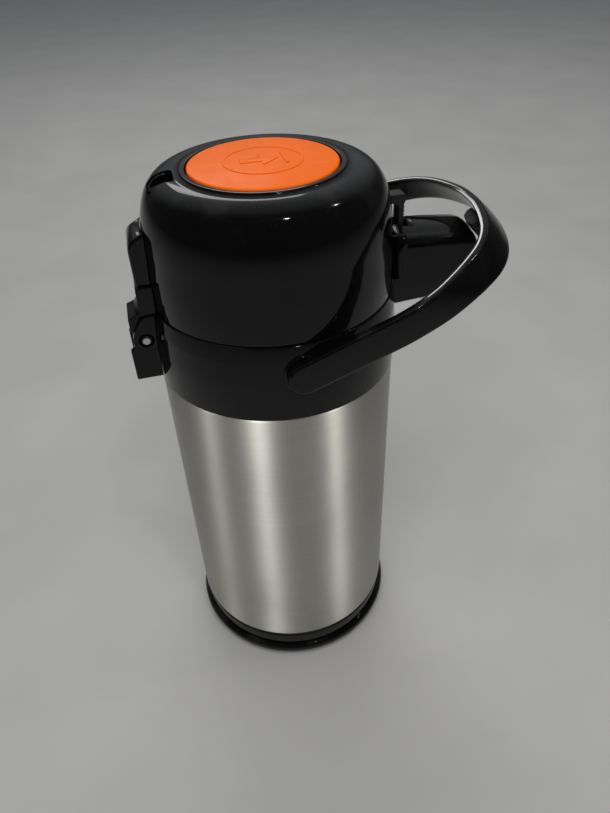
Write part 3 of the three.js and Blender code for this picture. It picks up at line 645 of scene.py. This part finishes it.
def make_base():
    """The swivel ring that the pot turns on, with its rubber foot and the cover of the bolt head."""
    bolt_hole = 5.4
    top = BASE_HIGH.z
    ring = turned("base_ring", [
        (bolt_hole, 4.6, 0), (11, 4.6, 0), (11, 1, 0.4), (57.7, 1, 0.3), (57.7, 2.9, 0), (66.3, 2.9, 0),
        (66.3, 1, 0.3), (72.2, 1, 1.4), (BASE_RADIUS, 5.4, 4.5), (BASE_RADIUS - 0.1, 9.4, 2.6),
        (73.6, top, 0.9), (71.8, top, 0.3), (71.4, 10.6, 0), (71.4, 4.5, 0), (16, 4.5, 0), (16, 8, 0.3),
        (bolt_hole, 8, 0.3),
    ])
    place(ring, "base", "black_gloss", "swivel_base")
    foot_low, foot_high = span("anti_slip_ring")
    grooves = [
        (radius, foot_low.z + (0 if k % 2 else GROOVE_DEPTH), 0)
        for k, radius in enumerate((58.3, 59.0, 60.3, 61.1, 62.4, 63.2, 64.5, 65.2))
    ]
    foot = turned("anti_slip_foot", [
        (58, foot_high.z, 0.2), (58, foot_low.z + 0.6, 0), *grooves,
        (66, foot_low.z + 0.6, 0.2), (66, foot_high.z, 0.2),
    ])
    place(foot, "base", "rubber", "anti_slip_ring")
    cover_low, cover_high = span("bolt_cover")
    cover = turned("bolt_disc", [
        (0, cover_low.z, 0), (cover_high.x, cover_low.z, 0.4), (cover_high.x, cover_high.z, 0.3),
        (0, cover_high.z, 0),
    ], FINE_ROUND)
    place(cover, "base", "rubber", "bolt_cover")


def make_body():
    """The bottom ring of the pot and the brushed sleeve above it."""
    top = CAP_HIGH.z
    edge = SHELL_LOW.z
    foot = turned("bottom_ring", [
        (5.4, 8.3, 0), (70.4, 8.3, 0.4), (70.4, 11.7, 0), (71.4, 11.7, 0.3), (72.4, 13, 0.5),
        (72.4, 22.4, 0.4), (71.9, 22.9, 0.3), (71.9, 24.2, 0.3), (72.5, 24.7, 0.3), (72.5, edge - 0.3, 0.2),
        (72, edge - 0.3, 0), (72, top, 0.3), (69.7, top, 0.3), (69.7, 11.3, 0.8), (12, 11.3, 0.4),
        (12, 17, 0.4), (5.4, 17, 0.3),
    ])
    place(foot, "pot", "black_gloss", "bottom_cap")
    inside, rolled = SHELL_RADIUS - 0.6, SHELL_RADIUS - 0.25
    shell = turned("steel_sleeve", [
        (inside, SHELL_LOW.z, 0.1), (rolled, SHELL_LOW.z, 0.25), (SHELL_RADIUS, SHELL_LOW.z + 1.1, 1.2),
        (SHELL_RADIUS, SHELL_HIGH.z - 1.1, 1.2), (rolled, SHELL_HIGH.z, 0.25), (inside, SHELL_HIGH.z, 0.1),
    ], SLEEVE_ROUND)
    place(shell, "pot", "brushed_steel", "steel_shell")
    sleeve_only.objects.link(shell)


# ---------------------------------------------------------------- collar, hinge bracket and nose
def collar_profile(clearance=0.0):
    """The outside of the collar as (radius, height, corner radius), upward from its straight part."""
    return [
        (COLLAR_RADIUS + clearance, 262, 12), (72.8 + clearance, 276, 12), (71 + clearance, COLLAR_TOP, 0.8),
    ]


def offset(profile, depth):
    """An upward profile of (radius, height) moved inward by a depth, square to itself."""
    moved = []
    for i, point in enumerate(profile):
        before, after = Vector(profile[max(i - 1, 0)]), Vector(profile[min(i + 1, len(profile) - 1)])
        along = (after - before).normalized()
        moved.append((point[0] - depth * along.y, point[1] + depth * along.x))
    return moved


def dome_profile():
    """The outside of the dome: nearly upright from the seam, then a squarish curve to the rim of the well."""
    well, shoulder_radius, shoulder = 44.8, 69.6, 316.0
    top = DOME_HIGH.z - LIP
    steps = 30
    squareness_out, squareness_up = 0.625, 0.833  # below 1 the curve is fuller than an ellipse
    points = [(DOME_RADIUS, DOME_LOW.z), (70.5, 296), (70.3, 308)]
    for i in range(steps + 1):
        angle = math.pi / 2 * i / steps
        points.append((
            well + (shoulder_radius - well) * max(math.cos(angle), 0) ** squareness_out,
            shoulder + (top - shoulder) * math.sin(angle) ** squareness_up,
        ))
    return points


def dome_blank(clearance):
    """The collar and dome as one full body, grown by a clearance, to hollow out what stands against it."""
    grown = offset(dome_profile(), -clearance)
    return turned("dome_blank", [
        (0, 262, 0), *[(r, z, 0) for r, z, _ in collar_profile(clearance)],
        *[(r, z, 0) for r, z in grown[1:]], (0, grown[-1][1], 0),
    ])


def collar_blank(clearance):
    """The straight lower part of the collar, grown by a clearance."""
    radius = COLLAR_RADIUS + clearance
    return turned("collar_blank", [(0, 230, 0), (radius, 230, 0), (radius, 262.2, 0), (0, 262.2, 0)])


def make_collar():
    """The plastic collar, with a boss on each side for the bail."""
    skirt = SHELL_RADIUS - 1
    foot = SHELL_HIGH.z + 0.3
    ring = turned("collar_ring", [
        (68, 230, 0.4), (skirt, 228, 0.4), (skirt, foot, 0), (COLLAR_RADIUS, foot, 0.7), *collar_profile(),
        (68, COLLAR_TOP, 0.6),
    ])
    bosses = []
    for side in (-1, 1):
        boss = turned(f"boss_{side + 1}", [
            (0, side * 70, 0), (11.2, side * 70, 0), (11.2, side * 73.4, 0.5), (10.6, side * 73.75, 0.3),
            (0, side * 73.75, 0),
        ], FINE_ROUND, "X", (0, 0, HANDLE.z))
        bosses.append(boss)
    place(joined("collar_band", ring, *bosses), "pot", "black_gloss", "collar")


def make_bracket():
    """Two ears that hold the hinge pin, joined below by a web that is screwed to the collar."""
    back = span("hinge_bracket")[1].y
    for side, name in ((-1, "hinge_ear_left"), (1, "hinge_ear_right")):
        inner, outer = side * 10.2, side * 13.8
        ear = slab(name, [
            (70.6, 246.6, 0), (72.6, 242, 1.4), (back, 242, 1.0), (back, 262, 1.2), (85.4, 264.6, 1.2),
            (85.2, 270, 3), (83.4, 275, 4), (80, 280.5, 3), (76.6, 283.4, 1.6), (70.6, 283.4, 0),
        ], min(inner, outer), max(inner, outer), "X", 0.7)
        carve(ear, dome_blank(0.3), collar_blank(0.3))
        rim = turned("rim", [
            (2.9, outer - side * 0.5, 0), (4.6, outer - side * 0.5, 0), (4.6, outer, 0.2), (2.9, outer, 0.2),
        ], SMALL_ROUND, "X", (0, HINGE.y, HINGE.z))
        place(joined(f"{name}_pad", ear, rim), "pot", "black_gloss", "hinge_bracket")
    web = block("hinge_web", (-11, 70.6, 242.2), (11, 85.8, 250.8), 0.9)
    carve(web, collar_blank(0.3))
    web.name = "hinge_bridge"
    place(web, "pot", "black_gloss", "hinge_bracket")
    pin_low, pin_high = span("hinge_pin")
    radius = pin_high.z - HINGE.z - 0.05
    pin = turned("hinge_pin_rod", [
        (0, pin_low.x, 0), (radius, pin_low.x, 0.6), (radius, pin_high.x, 0.6), (0, pin_high.x, 0),
    ], SMALL_ROUND, "X", (0, HINGE.y, HINGE.z))
    place(pin, "pot", "fixing_steel", "hinge_pin")


def arch(half, bottom, top, shoulder, crown, foot=0.0):
    """Section of the nose as (x, z): flat below, upright sides, round shoulders and a crowned top."""
    foot_steps, shoulder_steps, crown_steps = 3, 9, 6
    right = []
    for k in range(foot_steps + 1):
        angle = math.pi / 2 * k / foot_steps
        right.append((half - foot * (1 - math.sin(angle)), bottom + foot * (1 - math.cos(angle))))
    rise = top - crown - shoulder
    for k in range(shoulder_steps + 1):
        angle = math.pi / 2 * k / shoulder_steps
        right.append((half - shoulder * (1 - math.cos(angle)), rise + shoulder * math.sin(angle)))
    flat = half - shoulder
    for k in range(1, crown_steps + 1):
        x = flat * (1 - k / crown_steps)
        right.append((x, top - crown * (x / flat) ** 2))
    left = [(-x, z) for x, z in reversed(right[:-1])]
    return right + left


def nose_skin(name, stations, lean, edge, section):
    """A nose drawn toward -Y through stations of y, with its front edge rounded by a radius.

    section gives the outline at a y, drawn in by an inset, and lean how far it leans out per millimetre down.
    """
    edge_steps = 5
    steps = [(y, 0, 0) for y in stations]
    for k in range(1, edge_steps + 1):
        angle = math.pi / 2 * k / edge_steps
        steps.append((stations[-1], edge * (1 - math.cos(angle)), edge * math.sin(angle)))
    sections = []
    for y, inset, forward in steps:
        high = max(z for _, z in section(y, 0))
        sections.append([(x, y - forward - lean(y) * (high - z), z) for x, z in section(y, inset)])
    return lofted(name, sections)


def ease(y, start, length):
    """0 behind a start on the -Y side, rising evenly to 1 a length further forward."""
    return max(0.0, min(1.0, (-y - start) / length))


def make_nose():
    """The nose: a hood over the outlet, the collar's tray below the seam, and the spout tip."""
    half = 19.0
    top = 311.0

    def cover_top(y):
        forward = max(0.0, -y - 78)
        return top - 0.055 * forward - 0.0009 * forward**2

    def cover_section(y, inset):
        taper = 0.8 * ease(y, 95, 25)
        return arch(half - taper - inset, SEAM_Z + 0.35 * inset, cover_top(y) - inset, 6.5, 2.2)

    def cover_lean(y):
        return 0.21 * ease(y, 84, 34)

    stations = (-66, -72, -80, -88, -96, -104, -110, -115, -118.4)
    cover = nose_skin("nose_shell", stations, cover_lean, 3.0, cover_section)
    flange = slab("nose_flange", [
        (-20.6, SEAM_Z, 0.4), (20.6, SEAM_Z, 0.4), (20.6, 311.6, 5.5), (0, 312.6, 30), (-20.6, 311.6, 5.5),
    ], -76.5, -60, "Y", 0.8)
    for piece in (cover, flange):
        carve(piece, dome_blank(0.5), block("slot", (-5, -85, 290), (5, -50, 330)))
    lugs = [
        block(f"lug_{k}", (x, -82, 298.5), (x + 2.8, -73.2, 309.4), 0.5) for k, x in enumerate((-8.4, 5.6))
    ]
    place(joined("nose_hood", cover, flange, *lugs), "pot", "black_gloss", "nose_cover")

    def lower_bottom(y):
        forward = max(0.0, -y - 100)
        return 265.6 + 0.05 * (-y - 60) + 0.016 * forward**2

    def lower_section(y, inset):
        return arch(17 - inset, lower_bottom(y) + inset, 284.7, 0.4, 0.05, 1.6)

    def lower_lean(y):
        return -0.2 * ease(y, 84, 30)

    stations = (-69.5, -78, -86, -94, -100, -105, -109, -112, -114.5)
    lower = nose_skin("nose_tray", stations, lower_lean, 2.2, lower_section)
    outline = [(0, 262, 0), (7.4, 262, 0), (7.4, 277, 0), (0, 277, 0)]
    carve(lower, turned("bore", outline, FINE_ROUND, "Z", (0, NOZZLE_Y, 0)))
    place(lower, "pot", "black_gloss", "collar")
    nozzle = turned("spout_tip", [
        (4.9, NOZZLE_LOW.z, 0.25), (6, NOZZLE_LOW.z, 0.4), (6.6, NOZZLE_HIGH.z, 0.2),
        (4.9, NOZZLE_HIGH.z, 0.2),
    ], FINE_ROUND, "Z", (0, NOZZLE_Y, 0))
    place(nozzle, "pot", "black_matte", "spout_nozzle")


# ---------------------------------------------------------------- latch
def make_latch():
    """The lever in front of the lid, with teeth on its face and a grip on its head."""
    high = span("latch_lever")[1]
    half = high.x
    inner, outer = -76.4, -79.8
    lever = slab("lever", [
        (inner, 300, 0.6), (inner, 322.8, 1.6), (-74.4, 324.2, 1.2), (-71.7, 324.6, 0.6),
        (-71.7, high.z, 1.2), (-80.5, high.z, 1.2), (-80.5, 324.9, 0.7), (outer, 323.8, 0.6),
        (outer, 300, 0.6),
    ], -half, half, "X", 0.45)
    teeth = [
        slab(f"tooth_{k}", [
            (outer + 0.8, z - 0.9, 0), (outer - 0.7, z, 0.35), (outer + 0.8, z + 0.9, 0),
        ], -half + 0.3, half - 0.3, "X")
        for k, z in enumerate(306.2 + 2.2 * k for k in range(8))
    ]
    grip = [
        slab(f"grip_{k}", [
            (-80.2, z - 0.7, 0), (-80.9, z, 0.3), (-80.2, z + 0.7, 0),
        ], -half + 0.5, half - 0.5, "X")
        for k, z in enumerate((326.0, 328.0))
    ]
    knuckle = turned("knuckle", [
        (1.8, -half, 0), (3.3, -half, 0.4), (3.3, half, 0.4), (1.8, half, 0),
    ], SMALL_ROUND, "X", (0, LATCH.y, LATCH.z))
    place(joined("latch_tongue", lever, knuckle, *teeth, *grip), "latch", "black_matte", "latch_lever")


# ---------------------------------------------------------------- lid
def make_dome():
    """The dome of the lid, with a pocket at its back that holds the steam vent."""
    wall = 2.2
    well = 41.5
    outside = dome_profile()
    bottom = outside[0]
    inner = [(r, z) for r, z in offset(outside, wall) if r > 50]
    dome = turned("lid_shell", [
        (bottom[0] - wall, bottom[1], 0.4), (bottom[0], bottom[1], 0.8), *[(r, z, 0) for r, z in outside[1:]],
        (44.2, DOME_HIGH.z, 0.8), (well, DOME_HIGH.z, 0.5), (well, 330, 0.3), (well + 2, 330, 0.3),
        (well + 2, 351.4, 0), *[(r, z, 0) for r, z in reversed(inner[1:])],
    ], LID_ROUND)
    low = span("vent_cover")[0]
    pocket = block("pocket", (-8.9, 47.6, 338.2), (8.9, 62, 362), 2.2)
    carve(dome, pocket)
    place(dome, "lid", "black_gloss", "lid_dome")
    plate = block("plate", (-8.6, 47.9, low.z), (8.6, 61.6, low.z + 6.4), 0.5)
    rib = turned("rib", [
        (6.2, low.z + 1, 0), (8.2, low.z + 1, 0), (8.2, 362, 0), (6.2, 362, 0),
    ], FINE_ROUND, "Z", (0, 54, 0))
    carve(rib, block("lean", (-20, 30, 330), (20, 51.5, 365)))
    rib = soften(trim_to(rib, dome_blank(-0.6)), 0.35)
    stem = turned("stem", [
        (0, low.z + 5, 0), (3.2, low.z + 5, 0), (3.2, low.z + 9.6, 0.8), (0, low.z + 9.6, 0),
    ], SMALL_ROUND, "Z", (0, 54.5, 0))
    place(joined("vent_knob", plate, rib, stem), "lid", "black_gloss", "vent_cover")


def make_hinge_arm():
    """The arm that carries the lid on the hinge pin, screwed to the back of the dome."""
    knuckle_half = 9.9
    radius = 6.8
    knuckle = turned("knuckle", [
        (2.85, -knuckle_half, 0), (radius, -knuckle_half, 0.5), (radius, knuckle_half, 0.5),
        (2.85, knuckle_half, 0),
    ], FINE_ROUND, "X", (0, HINGE.y, HINGE.z))
    web = slab("web", [
        (73.9, 270.5, 1), (73.9, 286, 0), (78.4, 286, 0), (81.4, 282.6, 2), (85.95, 281, 1.2),
        (85.95, 272.7, 0.7), (84.35, 271.4, 0.6), (84.35, 266.5, 1), (82.6, 265, 1),
    ], -knuckle_half, knuckle_half, "X", 0.5)
    bridge = slab("bridge", [
        (69.5, 284.3, 0.3), (78.5, 284.3, 0.6), (78.5, 299.6, 1.4), (77.2, 301, 1.4), (69, 301, 0),
    ], -14, 14, "X", 1.0)
    tab = slab("tab", [
        (66, 292, 0), (77.6, 292, 0), (77.6, 326, 7), (66, 332.3, 0),
    ], -12, 12, "X", 1.5)
    carve(bridge, dome_blank(0.4))
    carve(tab, dome_blank(0.4))
    panel = slab("panel", [
        (-8.2, 304, 1.5), (8.2, 304, 1.5), (8.2, 320, 3), (-8.2, 320, 3),
    ], 76, 77.95, "Y", 0.35)
    arm = joined("lid_arm", knuckle, web, bridge, tab, panel)
    place(arm, "lid", "black_gloss", "hinge_arm")


def make_lid_underside():
    """The plate that closes the lid from below, with its gasket and air valve."""
    low, high = span("lid_base_plate")
    plate = turned("lid_floor", [
        (6, low.z, 0.3), (high.x, low.z, 0.5), (high.x, high.z, 0.3), (65.4, high.z, 0.3), (65.4, 289.3, 0.8),
        (33.2, 289.3, 0.6), (33.2, 293, 0.3), (31.2, 293, 0.3), (31.2, 289.3, 0.4), (6, 289.3, 0.3),
    ])
    place(plate, "lid", "black_matte", "lid_base_plate")
    low, high = span("lid_gasket")
    lip = turned("lid_seal", [
        (25.6, low.z + 1.2, 0.4), (27.6, low.z, 0.9), (high.x, low.z + 0.9, 0.8), (high.x, high.z, 0.3),
        (25.6, high.z, 0.3),
    ])
    place(lip, "lid", "silicone", "lid_gasket")
    low, high = span("air_valve")
    valve = turned("valve_flap", [
        (0, low.z + 0.5, 0), (2.2, low.z, 0.4), (5.6, low.z + 0.2, 0.6), (5.6, 289.6, 0.2), (9.5, 289.6, 0.3),
        (9.5, high.z, 0.3), (0, high.z, 0),
    ], FINE_ROUND)
    place(valve, "lid", "silicone", "air_valve")


def make_screws():
    """Pan-head screws with a crossed slot, each standing for its own CAD node."""
    screws = [
        *[(f"lid_screw_{k}", "lid") for k in (1, 2, 3, 4)],
        *[(f"nose_screw_{k}", "pot") for k in (1, 2)],
    ]
    for node, body in screws:
        low, high = span(node)
        middle = (low + high) / 2
        head, shank = (high.x - low.x) / 2, 1.4
        screw = turned("screw", [
            (0, low.z, 0), (head, low.z, 1.0), (head, low.z + 1.8, 0.2), (shank, low.z + 1.8, 0.1),
            (shank, high.z - 1.5, 0), (0.3, high.z, 0), (0, high.z, 0),
        ], SMALL_ROUND, "Z", (middle.x, middle.y, 0))
        slots = []
        for k, (a, b) in enumerate(((2.0, 0.35), (0.35, 2.0))):
            near, far = (middle.x - a, middle.y - b, low.z - 1), (middle.x + a, middle.y + b, low.z + 0.9)
            slots.append(block(f"slot_{k}", near, far))
        carve(screw, *slots)
        screw.name = f"{node}_fine"
        place(screw, body, "fixing_steel", node)


# ---------------------------------------------------------------- pump button
def make_button():
    """The crowned press button with its raised mark, and the skirt that carries it."""
    crown = BUTTON_HIGH.z - 0.45
    low = BUTTON_LOW.z
    rise = [(r, crown - 0.75 * (r / 38.0) ** 2) for r in (8, 16, 24, 31, 36, 38.4)]
    cap = turned("button_cap", [
        (0, low, 0), (38.6, low, 0.3), (BUTTON_RADIUS, low + 1.2, 0.5), (BUTTON_RADIUS, crown - 0.95, 1.3),
        *[(r, z, 0) for r, z in reversed(rise)], (0, crown, 0),
    ], LID_ROUND)
    ring = turned("ring", [
        (20.2, crown - 1, 0), (21.6, crown - 1, 0), (21.6, crown + 0.1, 0.25), (20.2, crown + 0.1, 0.25),
    ])
    head = slab("head", [
        (-9, 1.5, 0.8), (-3, 1.5, 0.6), (-3, 12.5, 0.8), (3, 12.5, 0.8), (3, 1.5, 0.6), (9, 1.5, 0.8),
        (0, -8.5, 0.8),
    ], crown - 1, crown + 0.35, "Z", 0.2)
    bar = slab("bar", [(-9, -12.5, 0.8), (9, -12.5, 0.8), (9, -10.6, 0.8), (-9, -10.6, 0.8)],
               crown - 1, crown + 0.35, "Z", 0.2)
    place(joined("press_button", cap, ring, head, bar), "button", "orange_gloss", "push_button")
    carrier_low, carrier_high = span("button_carrier")
    carrier = turned("button_skirt", [
        (0, 329.2, 0), (7, 329.2, 0.3), (7, 346, 0), (37.2, 346, 0.4), (37.2, carrier_low.z + 2.3, 0.3),
        (carrier_high.x, carrier_low.z + 2.3, 0.3), (carrier_high.x, carrier_high.z, 0.4),
        (0, carrier_high.z, 0),
    ], FINE_ROUND)
    place(carrier, "button", "black_gloss", "button_carrier")


def make_bellows():
    """The bellows and the spring inside it, built at rest length; nothing here shortens them as the button goes
    down.
    """
    low, high = span("bellows")
    folds = 5
    pitch = (high.z - low.z) / (2 * folds)
    outer = [(25.2 if k % 2 else 30.2, low.z + pitch * k, 1.0) for k in range(2 * folds + 1)]
    inner = [(r - 1.5, z, 0.8) for r, z, _ in reversed(outer)]
    skin = turned("pump_bellows", [*outer, *inner], FINE_ROUND)
    spring_low, spring_high = span("return_spring")
    wire, coil, turns = 1.0, 17.0, 5
    sections = []
    steps = 160
    climb = spring_high.z - spring_low.z - 2 * wire
    for i in range(steps + 1):
        angle = 2 * math.pi * turns * i / steps
        out = Vector((math.cos(angle), math.sin(angle), 0))
        centre = out * coil + Vector((0, 0, spring_low.z + wire + climb * i / steps))
        sections.append([
            centre + (out * math.cos(a) + Vector((0, 0, 1)) * math.sin(a)) * wire
            for a in (2 * math.pi * k / 10 for k in range(10))
        ])
    spring = lofted("pump_spring", sections)
    for piece, slot, node in ((skin, "silicone", "bellows"), (spring, "fixing_steel", "return_spring")):
        piece.data.materials.append(MATERIALS[slot])
        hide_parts(node)
        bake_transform(piece)


# ---------------------------------------------------------------- bail
HANDLE_HALF = 9.4  # half the width of the strap
HANDLE_THICKNESS = 5.8
HANDLE_FLARE = 4.5  # how far the lower edge of the grip stands out
BEND_CENTRE = -62  # the grip bends round this point of the middle line


def bail_spine():
    """The middle line of the bail laid flat, from one pivot round to the other, arms toward -Y."""
    side = HANDLE_HIGH.x - HANDLE_THICKNESS / 2 - 0.08
    half = [
        (side, 0), (side, 20), (side, 40), (76.7, 60), (73.2, 79.6), (67.9, 93.2), (61.5, 105.8), (53.8, 117),
        (43.3, 125.6), (31, 131.3), (12, 136.1), (0, 136.8),
    ]
    whole = half + [(-x, y) for x, y in reversed(half[:-1])]
    return [Vector((p.x, -p.y)) for p in smooth_through(whole, 8)]


def tilted(u, v, w):
    """A point of the flat bail, flared outward at its lower edge and tilted up about the pivot."""
    share = ease(v, 60, 75)
    share = share * share * (3 - 2 * share)
    outward = Vector((u, v - BEND_CENTRE)).normalized() * (-HANDLE_FLARE * share * w / HANDLE_HALF)
    u, v = u + outward.x, v + outward.y
    cosine, sine = math.cos(-HANDLE_TILT), math.sin(-HANDLE_TILT)
    return (u, v * cosine - w * sine, v * sine + w * cosine + HANDLE.z)


def arm_end(middle, radius, angle):
    """A point on the round end of an arm, turned up from its tip by an angle."""
    return (middle.x, middle.y + radius * math.cos(angle), radius * math.sin(angle))


def make_bail():
    """The strap, in layers from its inner to its outer face that are each its outline, a little smaller."""
    spine = bail_spine()
    thick = HANDLE_THICKNESS / 2
    layers = [
        (-thick, 3.4), (-thick, 1.3), (-thick + 0.35, 0.4), (-thick + 1.1, 0.0), (0.6, 0.0), (1.7, 0.15),
        (2.25, 0.6), (2.5, 1.4), (2.62, 3.0), (2.75, 5.2), (thick, HANDLE_HALF - 1.4),
    ]
    normals = []
    for i, point in enumerate(spine):
        along = (spine[min(i + 1, len(spine) - 1)] - spine[max(i - 1, 0)]).normalized()
        normals.append(Vector((-along.y, along.x)))
    tip_steps = 9
    angles = [math.pi / 2 * k / tip_steps for k in range(tip_steps)]
    vertices, loops = [], []
    for depth, inset in layers:
        radius = HANDLE_HALF - inset
        line = [point + normal * depth for point, normal in zip(spine, normals)]
        upper = [arm_end(line[0], radius, angle) for angle in angles]
        upper += [(point.x, point.y, radius) for point in line]
        upper += [arm_end(line[-1], radius, angle) for angle in reversed(angles)]
        lower = [(u, v, -w) for u, v, w in reversed(upper[1:-1])]
        loops.append([len(vertices) + k for k in range(len(upper) + len(lower))])
        vertices += [tilted(*point) for point in upper + lower]
    count = len(loops[0])
    faces = []
    for inner, outer in zip(loops, loops[1:]):
        faces += [[inner[k], inner[(k + 1) % count], outer[(k + 1) % count], outer[k]] for k in range(count)]
    last = count // 2
    for loop in (loops[0], loops[-1]):
        def mirror(k, loop=loop):
            return loop[(count - k) % count]

        for k in range(last):
            faces.append(without_repeats((loop[k], loop[k + 1], mirror(k + 1), mirror(k))))
    strap = add_piece("bail_strap", vertices, faces)
    place(strap, "handle", "black_gloss", "bail_handle")
    bail_only.objects.link(strap)


def make_catch():
    """A nub of rubber inside the grip."""
    outline = [
        (-7.5, -132.5, 0.6), (-8.5, -128.5, 1.2), (-12, -125, 1.6), (-21, -122.4, 1.6), (-24.4, -123.8, 1.2),
        (-25, -129.2, 0.6), (-16, -131.5, 0),
    ]
    nub = slab("bail_stop", outline, -8.3, 4.5, "Z", 0.9)
    for vertex in nub.data.vertices:
        vertex.co = Vector(tilted(*(vertex.co * METRE))) / METRE
    place(nub, "handle", "rubber", "bail_catch")


# ---------------------------------------------------------------- inside the neck
def make_neck():
    """The stopper cup and the funnel round it, which show when the lid is open."""
    low, high = span("inner_stopper")
    cup = turned("stopper_cup", [
        (3.9, 260.8, 0.2), (21.8, 260.8, 0.6), (21.8, low.z, 0.4), (23.5, low.z, 0.5), (23.5, 260.8, 0.3),
        (high.x, 260.8, 0.4), (high.x, high.z, 0.8), (26.6, high.z, 0.8), (26.6, 263.6, 1.2),
        (7.6, 263.6, 0.8), (7.6, 268, 0.5), (4.95, 268, 0.4), (4.95, 263.6, 0), (3.9, 263.6, 0),
    ])
    holes = []
    for k in range(6):
        angle = math.radians(30 + 60 * k)
        holes.append(turned(f"hole_{k}", [
            (0, 258, 0), (1.2, 258, 0), (1.2, 268, 0), (0, 268, 0),
        ], SMALL_ROUND, "Z", (15 * math.cos(angle), 15 * math.sin(angle), 0)))
    notch = turned("notch", [
        (0, -35, 0), (5.1, -35, 0), (5.1, -20, 0), (0, -20, 0),
    ], SMALL_ROUND, "Y", (0, 0, 277))
    carve(cup, notch, *holes)
    place(cup, "pot", "white_plastic", "inner_stopper")
    low, high = span("liner_retainer")
    funnel = turned("neck_funnel", [
        (28.6, low.z, 0.3), (31, low.z, 0.3), (31, 255.5, 1.5), (high.x, 262, 0.5), (high.x, high.z, 0.5),
        (31.6, 258, 3), (28.6, 258, 0.5),
    ])
    place(funnel, "pot", "black_matte", "liner_retainer")


def finish_cad_nodes():
    """Materials of the CAD nodes that stay in view, by their slots in the record."""
    slots = {part["node"]: part["material_slot"] for part in frame["record"]["subparts"]}
    for name, node in frame["nodes"].items():
        node.data.materials.clear()
        node.data.materials.append(MATERIALS[slots[name]])


finish_cad_nodes()
make_base()
make_body()
make_collar()
make_bracket()
make_nose()
make_latch()
make_dome()
make_hinge_arm()
make_lid_underside()
make_screws()
make_button()
make_bellows()
make_bail()
make_catch()
make_neck()
